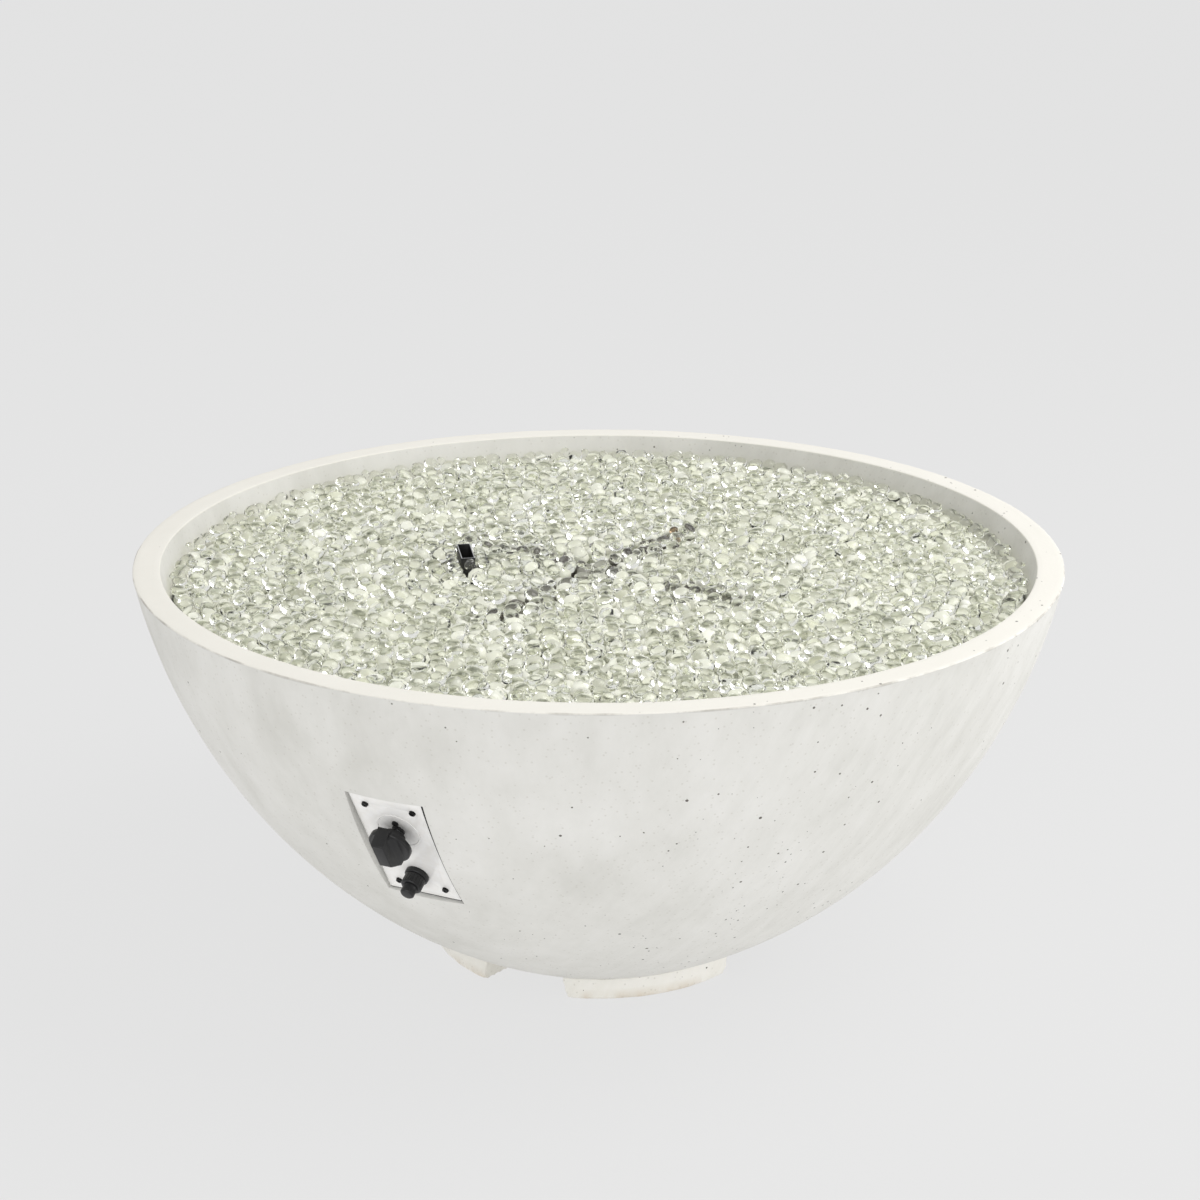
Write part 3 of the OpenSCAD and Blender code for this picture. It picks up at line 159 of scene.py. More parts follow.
# %% Helpers for modelling
def start_piece(name, mesh):
    bpy.ops.object.select_all(action="DESELECT")
    piece = bpy.data.objects.new(name, mesh)
    scene.collection.objects.link(piece)
    bpy.context.view_layer.objects.active = piece
    piece.select_set(True)
    return piece


def merged_copy(node, name, flat_angle=None):
    piece = start_piece(name, nodes[node].data.copy())
    bpy.ops.object.mode_set(mode="EDIT")
    bpy.ops.mesh.select_all(action="SELECT")
    bpy.ops.mesh.remove_doubles(threshold=MERGE)
    if flat_angle:
        bpy.ops.mesh.dissolve_limited(angle_limit=flat_angle)
    bpy.ops.object.mode_set(mode="OBJECT")
    return piece


def apply_modifier(piece, kind, **settings):
    bpy.context.view_layer.objects.active = piece
    modifier = piece.modifiers.new(kind.lower(), kind)
    for name, value in settings.items():
        setattr(modifier, name, value)
    bpy.ops.object.modifier_apply(modifier=modifier.name)


def turned(name, profile, steps, closed):
    mesh = bpy.data.meshes.new(name)
    count = len(profile)
    edges = [(i, (i + 1) % count) for i in range(count if closed else count - 1)]
    mesh.from_pydata([(r, 0, z) for r, z in profile], edges, [])
    piece = start_piece(name, mesh)
    bpy.ops.object.mode_set(mode="EDIT")
    bpy.ops.mesh.select_all(action="SELECT")
    bpy.ops.mesh.spin(steps=steps, angle=2 * math.pi, center=(0, 0, 0), axis=(0, 0, 1))
    bpy.ops.mesh.select_all(action="SELECT")
    bpy.ops.mesh.remove_doubles(threshold=MERGE)
    bpy.ops.mesh.normals_make_consistent(inside=False)
    bpy.ops.object.mode_set(mode="OBJECT")
    return piece


def thicken(depth):
    bpy.ops.mesh.select_all(action="SELECT")
    bpy.ops.mesh.extrude_region_move(TRANSFORM_OT_translate={"value": (0, 0, -depth)})
    bpy.ops.mesh.select_all(action="SELECT")
    bpy.ops.mesh.normals_make_consistent(inside=False)
    bpy.ops.object.mode_set(mode="OBJECT")


# %% [markdown]
# The bowl is cast in one piece against a turned mould, so it is modelled the same way: one
# half of its section is drawn as a closed line and spun about the axis. The outer wall is a
# single arc. A cast edge is never knife sharp, so the rim's corners are small rounds, and two
# gentle Displace modifiers give the wall its hand-worked unevenness and the rim its small chips.

# %% Bowl section
RIM_R, RIM_W, RIM_TOP = 0.5335, 0.031, cad_high.z
FOOT_H, FLOOR_Z, FLOOR_MID_R = 0.028, 0.056, 0.12
ARC_R, ARC_Z, WALL_ARC, WALL_T = -0.10715, 0.60312, 0.652, 0.026
LEDGE_Z, LEDGE_OUT, LEDGE_IN, LEDGE_T, LEDGE_SLOPE = 0.407, 0.48366, 0.45766, 0.018, 17 * MM
GAS_HOLE_R = 0.038
EDGE_ROUND, ROUND_ANGLES = 1.6 * MM, (0.0, 0.52, 1.05, 1.57)
BOWL_STEPS = 480


def wall_r(z, inward=0.0):
    return ARC_R + math.sqrt((WALL_ARC - inward) ** 2 - (z - ARC_Z) ** 2)


def round_corner(r, z, side):
    return [(r - side * EDGE_ROUND * (1 - math.cos(t)), z - EDGE_ROUND * (1 - math.sin(t)))
            for t in ROUND_ANGLES]


outside = [(wall_r(z), z) for z in np.linspace(FOOT_H, RIM_TOP - 2 * EDGE_ROUND, 56)]
rim_in = RIM_R - RIM_W
rim = round_corner(RIM_R, RIM_TOP, 1) + [(RIM_R - RIM_W * t, RIM_TOP) for t in (0.25, 0.5, 0.75)]
rim += round_corner(rim_in, RIM_TOP, -1)[::-1]
upper = [(LEDGE_OUT + (rim_in - LEDGE_OUT) * t, LEDGE_Z + (RIM_TOP - LEDGE_Z) * t)
         for t in (0.92, 0.75, 0.5, 0.25, 0.0)]
ledge = [(LEDGE_IN, LEDGE_Z), (LEDGE_IN, LEDGE_Z - LEDGE_T)]
inside = [(wall_r(z, WALL_T), z) for z in np.linspace(LEDGE_Z - LEDGE_T - LEDGE_SLOPE, FLOOR_Z, 24)]
floor_in = [(GAS_HOLE_R, FLOOR_Z), (GAS_HOLE_R, FOOT_H), (FLOOR_MID_R, FOOT_H)]
bowl = turned("concrete_bowl", outside + rim + upper + ledge + inside + floor_in, BOWL_STEPS, True)
print("bowl of", len(bowl.data.polygons), "faces")

# %% Cast unevenness
CHIP_REACH = 4 * MM


def cast_texture(name, size_mm):
    made = bpy.data.textures.new(name, "CLOUDS")
    made.noise_scale = size_mm * MM
    made.noise_depth = 2
    return made


edge = bowl.vertex_groups.new(name="rim_edge")
for v in bowl.data.vertices:
    off_edge = math.hypot(math.hypot(v.co.x, v.co.y) - RIM_R, v.co.z - RIM_TOP)
    if off_edge < CHIP_REACH:
        edge.add([v.index], 1 - off_edge / CHIP_REACH, "REPLACE")
apply_modifier(bowl, "DISPLACE", texture=cast_texture("cast_waves", 120), strength=1.2 * MM, mid_level=0.5)
apply_modifier(bowl, "DISPLACE", texture=cast_texture("rim_chips", 11), strength=0.9 * MM, mid_level=0.5,
               vertex_group="rim_edge")
print("bowl is", round(max(v.co.z for v in bowl.data.vertices), 4), "m high with its unevenness")

# %% [markdown]
# The pocket for the control panel is cut square to the wall. Its place and tilt follow from
# the wall's arc: the plate lies a fixed depth inside the arc and stands square to its radius.
# The cutters are boxes set in the panel's own axes: one for the plate's seat and two, crossed,
# for the window behind it. The cut's edges are then bevelled a little, because a cast pocket has
# soft corners.

# %% Panel axes
PANEL_Z = RIM_TOP - 0.1982
PANEL_INSET = 0.009
PANEL_W, PANEL_H, PANEL_T, PANEL_GAP = 0.086, 0.158, 0.002, 0.003
KNOB_UP, IGNITER_UP = 0.028, -0.046

panel_tilt = math.asin((ARC_Z - PANEL_Z) / (WALL_ARC - PANEL_INSET))
panel_at = Vector((0, -(ARC_R + (WALL_ARC - PANEL_INSET) * math.cos(panel_tilt)), PANEL_Z))
panel_axes = Matrix.Translation(panel_at) @ Matrix.Rotation(math.pi / 2 + panel_tilt, 4, "X")
outward = (panel_axes.to_3x3() @ Vector((0, 0, 1))).normalized()
print("panel leans", round(math.degrees(panel_tilt), 2), "degrees")

# %% Cut the pocket
POCKET_W, POCKET_H = PANEL_W / 2 + PANEL_GAP, PANEL_H / 2 + PANEL_GAP
WINDOWS = ((0.0205, 0.070), (0.034, 0.057))
CUT_OUT, CUT_IN = 0.06, 0.08


def cut_box(piece, axes, low, high):
    bpy.ops.object.select_all(action="DESELECT")
    bpy.ops.mesh.primitive_cube_add(size=1)
    cutter = bpy.context.object
    low, high = Vector(low), Vector(high)
    cutter.matrix_world = axes @ Matrix.Translation((low + high) / 2) @ Matrix.Diagonal((*(high - low), 1))
    bpy.context.view_layer.update()
    apply_modifier(piece, "BOOLEAN", object=cutter, operation="DIFFERENCE", solver="EXACT")
    bpy.data.objects.remove(cutter)


cut_box(bowl, panel_axes, (-POCKET_W, -POCKET_H, -PANEL_T), (POCKET_W, POCKET_H, CUT_OUT))
for wide, tall in WINDOWS:
    cut_box(bowl, panel_axes, (-wide, -tall, -CUT_IN), (wide, tall, CUT_OUT))
bpy.ops.object.select_all(action="DESELECT")
bowl.select_set(True)
bpy.context.view_layer.objects.active = bowl
apply_modifier(bowl, "BEVEL", width=0.7 * MM, segments=2, limit_method="ANGLE", angle_limit=math.radians(48))
bpy.ops.object.shade_smooth_by_angle(angle=math.radians(32))
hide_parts("bowl_shell")
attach(bowl, "fire_bowl")
print("bowl with its pocket has", len(bowl.data.polygons), "faces")

# %% [markdown]
# The bowl and its feet are glass-fibre concrete, cast against a smooth mould and sealed matt.
# Casting leaves a pale, cloudy skin with a fine sandy grain, and the trowel leaves slanting
# strokes on one side. Air that was trapped against the mould leaves pinholes of a millimetre or
# two, many more on that side than on the other: each is a shallow dent in the bump, and its dark
# inside is painted shade. The rim is ground flat, so it is paler, and handling leaves a thin dark
# line along its outer edge. The feet turn darker and browner towards the bottom. Each of these is
# a few nodes in a function of its own: clouds are broad noise, strokes are noise squeezed in one
# direction, and pinholes are the middles of Voronoi cells, of which a share is kept.

# %% Cloudy tint of the concrete
CLOUD_MM, WASH_MM, STROKE_MM = 190, 60, 90
WASH_SHARE, WASH_STRETCH = 0.45, (1, 1, 0.35)
STROKE_ACROSS = Vector((0.76, 0.38, -0.50))
STROKE_SHARE, STROKE_SLIM = 0.5, 0.16
PITTED_SIDE = (0.80, 0.42, -0.55)
PITTED_FROM, PITTED_TO = -0.30, 0.22


def pitted_share(tree, place):
    side = add_node(tree, "VectorMath", {0: place, 1: PITTED_SIDE}, operation="DOT_PRODUCT")
    reach = {"Value": side.outputs["Value"], "From Min": PITTED_FROM, "From Max": PITTED_TO}
    return add_node(tree, "MapRange", reach).outputs[0]


def cloudy_tint(tree, place, tints):
    broad = {"Vector": place, "Scale": 1000 / CLOUD_MM, "Detail": 5, "Roughness": 0.6}
    clouds = add_node(tree, "TexNoise", broad).outputs["Fac"]
    tall = add_node(tree, "Mapping", {"Vector": place, "Scale": WASH_STRETCH}).outputs[0]
    drips = {"Vector": tall, "Scale": 1000 / WASH_MM, "Detail": 6, "Roughness": 0.65}
    wash = add_node(tree, "TexNoise", drips).outputs["Fac"]
    mottle = add_node(tree, "Mix", {"Factor": WASH_SHARE, "A": clouds, "B": wash}).outputs["Result"]
    lie = tuple(STROKE_ACROSS.to_track_quat("Z", "Y").to_euler())
    slant = {"Vector": place, "Rotation": lie, "Scale": (1, 1, STROKE_SLIM)}
    slant = add_node(tree, "Mapping", slant, vector_type="TEXTURE").outputs[0]
    slim = {"Vector": slant, "Scale": 1000 / STROKE_MM, "Detail": 6, "Roughness": 0.7}
    strokes = add_node(tree, "TexNoise", slim).outputs["Fac"]
    amount = add_node(tree, "Math", {0: pitted_share(tree, place), 1: STROKE_SHARE}, operation="MULTIPLY")
    worked = add_node(tree, "Mix", {"Factor": amount.outputs[0], "A": mottle, "B": strokes})
    return ramp(tree, worked.outputs["Result"], list(zip((0.36, 0.5, 0.64), tints))), wash


# %% Pinholes of the concrete
PORE_CELL_MM, PATCH_MM = 9, 180
PORE_SMALL, PORE_LARGE = 0.06, 0.20


def pinholes(tree, place):
    cells = add_node(tree, "TexVoronoi", {"Vector": place, "Scale": 1000 / PORE_CELL_MM})
    luck = add_node(tree, "SeparateColor", {"Color": cells.outputs["Color"]})
    patches = add_node(tree, "TexNoise", {"Vector": place, "Scale": 1000 / PATCH_MM, "Detail": 2})
    patchy = {"Value": patches.outputs["Fac"], "From Min": 0.36, "From Max": 0.62}
    patchy = add_node(tree, "MapRange", patchy).outputs[0]
    pitted = {"Value": pitted_share(tree, place), "To Min": 0.10, "To Max": 0.95}
    pitted = add_node(tree, "MapRange", pitted).outputs[0]
    share = add_node(tree, "Math", {0: pitted, 1: patchy}, operation="MULTIPLY").outputs[0]
    kept = add_node(tree, "Math", {0: luck.outputs["Red"], 1: share}, operation="LESS_THAN").outputs[0]
    rare = add_node(tree, "Math", {0: luck.outputs["Green"], 1: 3.0}, operation="POWER").outputs[0]
    size = add_node(tree, "MapRange", {"Value": rare, "To Min": PORE_SMALL, "To Max": PORE_LARGE})
    within = add_node(tree, "Math", {0: cells.outputs["Distance"], 1: size.outputs[0]}, operation="LESS_THAN")
    return add_node(tree, "Math", {0: within.outputs[0], 1: kept}, operation="MULTIPLY").outputs[0]


# %% Marks on the rim and the feet
def edge_marks(tree, place, wash):
    axes = add_node(tree, "SeparateXYZ", {"Vector": place})
    height = axes.outputs["Z"]
    flat = add_node(tree, "CombineXYZ", {"X": axes.outputs["X"], "Y": axes.outputs["Y"]})
    reach = add_node(tree, "VectorMath", {0: flat.outputs[0]}, operation="LENGTH").outputs["Value"]
    outer = {"Value": reach, "From Min": RIM_R - 1.8 * MM, "From Max": RIM_R - 0.6 * MM}
    high = {"Value": height, "From Min": RIM_TOP - 3.0 * MM, "From Max": RIM_TOP - 1.2 * MM}
    rubbed = {"Value": wash, "From Min": 0.44, "From Max": 0.62, "To Max": 0.55}
    ground = {"Value": height, "From Min": RIM_TOP - 1.6 * MM, "From Max": RIM_TOP - 0.8 * MM, "To Max": 0.8}
    # Towards the bottom of the feet the concrete turns darker and browner, in patches.
    low = {"Value": height, "From Min": 3 * MM, "From Max": 15 * MM, "To Min": 1.0, "To Max": 0.0}
    low_patches = {"Value": wash, "From Min": 0.46, "From Max": 0.64, "To Max": 0.55}
    outer, high, rubbed, ground, low, low_patches = [add_node(tree, "MapRange", given).outputs[0]
                                              for given in (outer, high, rubbed, ground, low, low_patches)]
    edge = add_node(tree, "Math", {0: outer, 1: high}, operation="MULTIPLY").outputs[0]
    worn = add_node(tree, "Math", {0: edge, 1: rubbed}, operation="MULTIPLY").outputs[0]
    darker_low = add_node(tree, "Math", {0: low, 1: low_patches}, operation="MULTIPLY").outputs[0]
    return ground, worn, darker_low


# %% Concrete
GRAIN_MM, SPECK_CELL_MM = 3.5, 7


def concrete_finish(name, tints):
    finish, tree, shader, place = start_finish(name, {"Roughness": 0.8, "IOR": 1.45})
    tint, wash = cloudy_tint(tree, place, tints)
    ground, worn, darker_low = edge_marks(tree, place, wash)
    shaded_pore = pinholes(tree, place)
    dust = add_node(tree, "TexVoronoi", {"Vector": place, "Scale": 1000 / SPECK_CELL_MM})
    sandy = {"Value": dust.outputs["Distance"], "From Min": 0.10, "From Max": 0.22, "To Min": 0.3,
             "To Max": 0.0}
    sandy = add_node(tree, "MapRange", sandy).outputs[0]
    # The last layer darkens each pinhole: painted shade inside the hole.
    layers = ((sandy, "#b9b5aa"), (ground, "#f0ede4"), (worn, "#857f74"), (darker_low, "#c9b79c"),
              (shaded_pore, "#68645e"))
    for amount, code in layers:
        tint = add_node(tree, "Mix", {"Factor": amount, "A": tint, "B": linear(code)}, data_type="RGBA")
        tint = tint.outputs["Result"]
    join(tree, tint, shader, "Base Color")
    grain = add_node(tree, "TexNoise", {"Vector": place, "Scale": 1000 / GRAIN_MM, "Detail": 3})
    height = add_node(tree, "Math", {0: grain.outputs["Fac"], 1: shaded_pore}, operation="SUBTRACT")
    bump = add_node(tree, "Bump", {"Height": height.outputs[0], "Strength": 0.12, "Distance": 0.8 * MM})
    join(tree, bump.outputs["Normal"], shader, "Normal")
    return finish


dress(bowl, concrete_finish("cast_concrete", ("#d6d5cf", "#e1e0db", "#e9e8e4")))
print("concrete on the bowl")

# %% [markdown]
# Some CAD pieces already have the right shape and only miss what a mould or a press gives every
# edge: a small round that catches the light. For these a copy of the CAD mesh is merged, its
# flat areas are dissolved to single faces, and a Bevel modifier rounds what is left of the edges.

# %% Pieces with softened edges
FLAT_ANGLE = math.radians(1)


def softened(node, name, width_mm, body, steps=2, angle=35):
    piece = merged_copy(node, name, FLAT_ANGLE)
    apply_modifier(piece, "BEVEL", width=width_mm * MM, segments=steps, limit_method="ANGLE",
                   angle_limit=math.radians(angle))
    bpy.ops.object.shade_smooth_by_angle(angle=math.radians(angle))
    piece.data.materials.clear()
    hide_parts(node)
    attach(piece, body)
    return piece


feet = softened("feet", "cast_feet", 3.0, "fire_bowl", steps=3)
plate = softened("control_panel", "panel_plate", 0.5, "fire_bowl")
plate_screws = softened("panel_screws", "plate_screws", 0.5, "fire_bowl")
valve_screws = softened("valve_screws", "valve_mount_screws", 0.5, "fire_bowl")
hood = softened("ignition_hood", "spark_hood", 0.25, "fire_bowl")
knob = softened("control_knob", "gas_knob", 0.9, "knob_and_stem")
flange = softened("igniter_body", "igniter_barrel", 0.5, "fire_bowl")
cap = softened("igniter_cap", "igniter_screw_cap", 0.25, "screw_cap")
button = softened("igniter_button", "igniter_push_button", 0.35, "push_button")
for piece in (feet, plate, plate_screws, valve_screws, hood, knob, flange, cap, button):
    print(piece.name, "has", len(piece.data.polygons), "faces")

# %% [markdown]
# The feet were cast in rough wooden forms and broken out by hand, so their edges are uneven. The
# Remesh modifier gives each foot an even net of small faces, and Displace then eats into it by
# about two millimetres at most, except at the bottom, which stands flat on the floor.

# %% Rough edges of the feet
FLAT_BELOW = 3 * MM
apply_modifier(feet, "REMESH", mode="VOXEL", voxel_size=2.5 * MM, use_smooth_shade=True)
sides = feet.vertex_groups.new(name="above_floor")
for v in feet.data.vertices:
    sides.add([v.index], min(max(v.co.z / FLAT_BELOW, 0), 1), "REPLACE")
apply_modifier(feet, "DISPLACE", texture=cast_texture("foot_lumps", 20), strength=3.0 * MM, mid_level=0.75,
               vertex_group="above_floor")
print("rough feet of", len(feet.data.polygons), "faces")

# %% [markdown]
# The plate carries a faint raised ring around the knob, pressed into the sheet, and it lies on
# a thin black foam gasket. The gasket is set a little right of and below the plate's middle, so
# that it shows as a dark line at the plate's edges, most of all on the right and at the bottom:
# painted shadow of the gap there. The ring is a turned profile. The gasket is a plane, inset,
# with its middle removed and its rim drawn down.

# %% Raised ring
RING_R = 24 * MM
RING_SECTION = ((-0.9, -0.1), (-0.5, 0.4), (0.0, 0.6), (0.5, 0.4), (0.9, -0.1))
ring = turned("pressed_ring", [(RING_R + x * MM, z * MM) for x, z in RING_SECTION], 96, True)
ring.data.transform(panel_axes @ Matrix.Translation((0, KNOB_UP, 0)))
ring.data.shade_smooth()
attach(ring, "fire_bowl")
print("ring of", len(ring.data.polygons), "faces")

# %% Gasket
GASKET_W, GASKET_H = PANEL_W + 3.2 * MM, PANEL_H + 1.6 * MM
# The gasket is set off the plate's middle so that its edge shows as painted shadow at the right and bottom.
GASKET_SHADOW_SHIFT = Vector((0.9, -1.3, -0.6)) * MM
GASKET_BAND, GASKET_T = 5 * MM, 1.2 * MM
bpy.ops.object.select_all(action="DESELECT")
bpy.ops.mesh.primitive_plane_add(size=1)
gasket = bpy.context.object
gasket.name = "panel_gasket"
bpy.ops.object.mode_set(mode="EDIT")
bpy.ops.mesh.select_all(action="SELECT")
bpy.ops.transform.resize(value=(GASKET_W, GASKET_H, 1))
bpy.ops.mesh.inset(thickness=GASKET_BAND)
bpy.ops.mesh.delete(type="FACE")
thicken(GASKET_T)
gasket.data.transform(panel_axes @ Matrix.Translation(GASKET_SHADOW_SHIFT))
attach(gasket, "fire_bowl")
print("gasket of", len(gasket.data.polygons), "faces")

# %% [markdown]
# Along the pocket's right side a dark strip fills the gap: painted shadow of the deep gap between
# the plate and the wall, wide at the top and running out to a thin line at the bottom. It is a
# grid strip in the panel's axes: each cross row gets the width of the gap there and follows the
# curve of the bowl's wall just below the lip.

# %% Painted shadow in the gap
GAP_SHADOW_WIDE, GAP_SHADOW_THIN, GAP_SHADOW_DEEP = 2.6 * MM, 0.9 * MM, 1.5 * MM
GAP_SHADOW_LOW, GAP_SHADOW_SIDE, GAP_SHADOW_END, GAP_SHADOW_ROUND = 0.5 * MM, 0.15 * MM, 0.5 * MM, 0.4 * MM
bpy.ops.object.select_all(action="DESELECT")
bpy.ops.mesh.primitive_grid_add(x_subdivisions=2, y_subdivisions=24, size=1)
gap_shadow = bpy.context.object
gap_shadow.name = "gap_shadow_strip"
for v in gap_shadow.data.vertices:
    rise = v.co.y + 0.5
    wide = GAP_SHADOW_THIN + (GAP_SHADOW_WIDE - GAP_SHADOW_THIN) * rise ** 1.5
    x = POCKET_W - GAP_SHADOW_SIDE - wide * (0.5 - v.co.x)
    y = (rise - 0.5) * 2 * (POCKET_H - GAP_SHADOW_END)
    seat = panel_axes @ Vector((x, y, 0))
    lip = (wall_r(seat.z) - math.hypot(seat.x, seat.y)) * math.cos(panel_tilt)
    at_side = abs(v.co.x) > 0.4
    v.co = (x, y, lip - GAP_SHADOW_LOW - (GAP_SHADOW_ROUND if at_side else 0))
bpy.ops.object.mode_set(mode="EDIT")
thicken(GAP_SHADOW_DEEP)
gap_shadow.data.transform(panel_axes)
gap_shadow.data.shade_smooth()
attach(gap_shadow, "fire_bowl")
print("bead of", len(gap_shadow.data.polygons), "faces")

# %% [markdown]
# Most other finishes are one story told with different numbers: a base colour that wanders
# between two close tints, a roughness that wanders with it, and a shallow bump of the same
# grain. Brushed or drawn metal has that grain stretched in one direction. The grain's size is
# a real one in millimetres, and the finest are drawn a little coarser so that they show.

# %% Grained finishes
def grained(name, tints, grain_mm, rough, bump=0.08, stretch=(1, 1, 1), **shader_inputs):
    settings = {key.replace("_", " "): value for key, value in shader_inputs.items()}
    finish, tree, shader, place = start_finish(name, settings)
    drawn = add_node(tree, "Mapping", {"Vector": place, "Scale": stretch})
    grain = add_node(tree, "TexNoise", {"Vector": drawn.outputs[0], "Scale": 1000 / grain_mm, "Detail": 4})
    join(tree, ramp(tree, grain.outputs["Fac"], list(zip((0.35, 0.65), tints))), shader, "Base Color")
    spread = add_node(tree, "MapRange", {"Value": grain.outputs["Fac"], "From Min": 0.3, "From Max": 0.7,
                                         "To Min": rough[0], "To Max": rough[1]})
    join(tree, spread.outputs[0], shader, "Roughness")
    relief = add_node(tree, "Bump", {"Height": grain.outputs["Fac"], "Strength": bump, "Distance": 0.3 * MM})
    join(tree, relief.outputs["Normal"], shader, "Normal")
    return finish


# Powder enamel baked on steel sheet: bright, nearly smooth, with a soft orange-peel ripple
enamel = grained("gloss_white_enamel", ("#faf8f4", "#fdfcfa"), 7.0, (0.16, 0.24), 0.02, IOR=1.5)
# Moulded ABS: dark grey under light, with a fine spark-eroded grain that spreads highlights
abs_plastic = grained("moulded_black_abs", ("#0e0e0f", "#161617"), 0.9, (0.30, 0.44), 0.06,
                      Specular_IOR_Level=0.45)
# Black oxide on steel: nearly black, with a dull metallic gleam on the rounded heads
black_oxide = grained("black_oxide_steel", ("#131313", "#262626"), 0.8, (0.32, 0.48), 0.06, Metallic=0.6)
# Heat-proof black enamel on thin sheet: matt and slightly sooty
hood_black = grained("heatproof_black_enamel", ("#0c0b0a", "#1a1917"), 2.5, (0.40, 0.65), 0.08, IOR=1.5)
# Brushed stainless steel: fine lines along the sheet, with long streaked highlights
stainless = grained("brushed_stainless", ("#a9abad", "#c8c9ca"), 1.2, (0.22, 0.40), 0.05, (1, 9, 1),
                    Metallic=1.0)
# Die-cast zinc: dull grey with a faint pebbled skin
zinc = grained("die_cast_zinc", ("#8f9296", "#acafb3"), 1.6, (0.42, 0.60), 0.12, Metallic=1.0)
# Drawn aluminium: pale and soft, with fine lines along the draw
aluminium = grained("drawn_aluminium", ("#b2b5b8", "#ced0d2"), 1.0, (0.26, 0.42), 0.04, (6, 1, 1),
                    Metallic=1.0)
# Turned brass: warm, bright on the flats, a little tarnished in patches
brass = grained("turned_brass", ("#9d7c3c", "#c9a75f"), 4.0, (0.20, 0.38), 0.03, Metallic=1.0)
# Bare copper tube with handling marks
copper = grained("annealed_copper", ("#97583a", "#c17c52"), 3.0, (0.26, 0.44), 0.04, Metallic=1.0)
# Spring steel wire: dark drawn metal
spring_wire = grained("spring_steel_wire", ("#85888b", "#a9acae"), 0.7, (0.28, 0.42), 0.05, Metallic=1.0)
# Nitrile rubber and foam: black and dull
rubber = grained("nitrile_rubber", ("#101010", "#1c1c1c"), 0.6, (0.70, 0.86), 0.12)
# Glazed alumina ceramic: warm white with a soft gloss
ceramic = grained("glazed_alumina", ("#e7e3d8", "#f3f0e8"), 3.0, (0.22, 0.36), 0.03, IOR=1.6)
# Silicone rubber jacket on the spark lead: brick red, slightly waxy
silicone = grained("silicone_jacket", ("#6c241b", "#8a3226"), 2.0, (0.48, 0.62), 0.05, IOR=1.43)
print("made", len(bpy.data.materials), "materials so far")

# %% Dress the nodes
dressing = {
    stainless: ("burner_tray", "burner_cross", "burner_end_caps", "burner_saddles", "saddle_screws",
                "mixing_tube", "mixer_lock_nuts", "hood_screws", "probe_bracket", "electrode_rod",
                "thermocouple_probe", "valve_stem", "shutter_screw"),
    spring_wire: ("battery_spring", "knob_clip"),
    zinc: ("gas_valve_body",),
    aluminium: ("supply_tube", "air_shutter", "lead_clips"),
    brass: ("gas_jet", "jet_elbow", "tube_nuts", "thermocouple_nut", "panel_anchors", "valve_plug",
            "magnet_unit", "inlet_fitting"),
    copper: ("thermocouple_lead",),
    ceramic: ("electrode_ceramic",),
    silicone: ("igniter_wire",),
    rubber: ("cap_seal",),
    abs_plastic: ("stem_bezel", "igniter_nut"),
}
for finish, names in dressing.items():
    for name in names:
        dress(nodes[name], finish)
print("dressed", sum(len(names) for names in dressing.values()), "nodes")

# %% Dress the new pieces
# The feet's concrete is the bowl's drawn paler: partly their own creamier colour, partly painted light
# against the shade under the bowl.
paler_foot_concrete = concrete_finish("cast_concrete_feet", ("#ebe8df", "#f4f2eb", "#f8f6f1"))
new_dressing = {
    enamel: (plate, ring),
    black_oxide: (plate_screws, valve_screws),
    abs_plastic: (knob, flange, cap, button),
    # The dark strip in the gap is painted shadow, drawn in the black rubber finish.
    rubber: (gasket, gap_shadow),
    hood_black: (hood,),
    paler_foot_concrete: (feet,),
}
for finish, pieces in new_dressing.items():
    for piece in pieces:
        dress(piece, finish)
print("dressed", sum(len(pieces) for pieces in new_dressing.values()), "new pieces")

# %% [markdown]
# Two coil springs are pressed when the knob or the igniter's button goes in; one end of each stays
# and the other moves. A spring can't ride on a body, because one end stays and the other moves. A
# copy of each CAD coil is merged, shaded smooth and fixed to the bowl, and the CAD coil is hidden.


def pressed_coil(node, name):
    coil = merged_copy(node, name)
    bpy.ops.object.shade_smooth_by_angle(angle=math.radians(40))
    dress(coil, spring_wire)
    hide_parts(node)
    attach(coil, "fire_bowl")
    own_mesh(coil)


pressed_coil("stem_spring", "stem_coil")
pressed_coil("button_spring", "button_coil")

# %% [markdown]
# The hood is a box of thin sheet, open at the top and blackened, and only its cut edges are bare
# steel, which show as thin bright lines. They are the faces at its top that look up.

# %% Bright edges of the hood
HOOD_AT = Vector((-0.143, -0.060))
HOOD_HALF = Vector((0.028, 0.008))
HOOD_TURN = math.radians(125)
HOOD_EDGE = 1.2 * MM
long_way = Vector((math.cos(HOOD_TURN), math.sin(HOOD_TURN)))
short_way = Vector((-long_way.y, long_way.x))
hood_top = max(v.co.z for v in hood.data.vertices)
hood.data.materials.append(stainless)
for face in hood.data.polygons:
    face.material_index = int(face.normal.z > 0.7 and face.center.z > hood_top - HOOD_EDGE)
print("hood", sum(f.material_index for f in hood.data.polygons), "of", len(hood.data.polygons), "faces bare")

# %% [markdown]
# The battery is a plain cell in a printed sleeve: a copper-coloured band at its top and a black
# one below. The sleeve's two colours meet at a set height along the barrel, which a dot product
# with the barrel's direction gives.

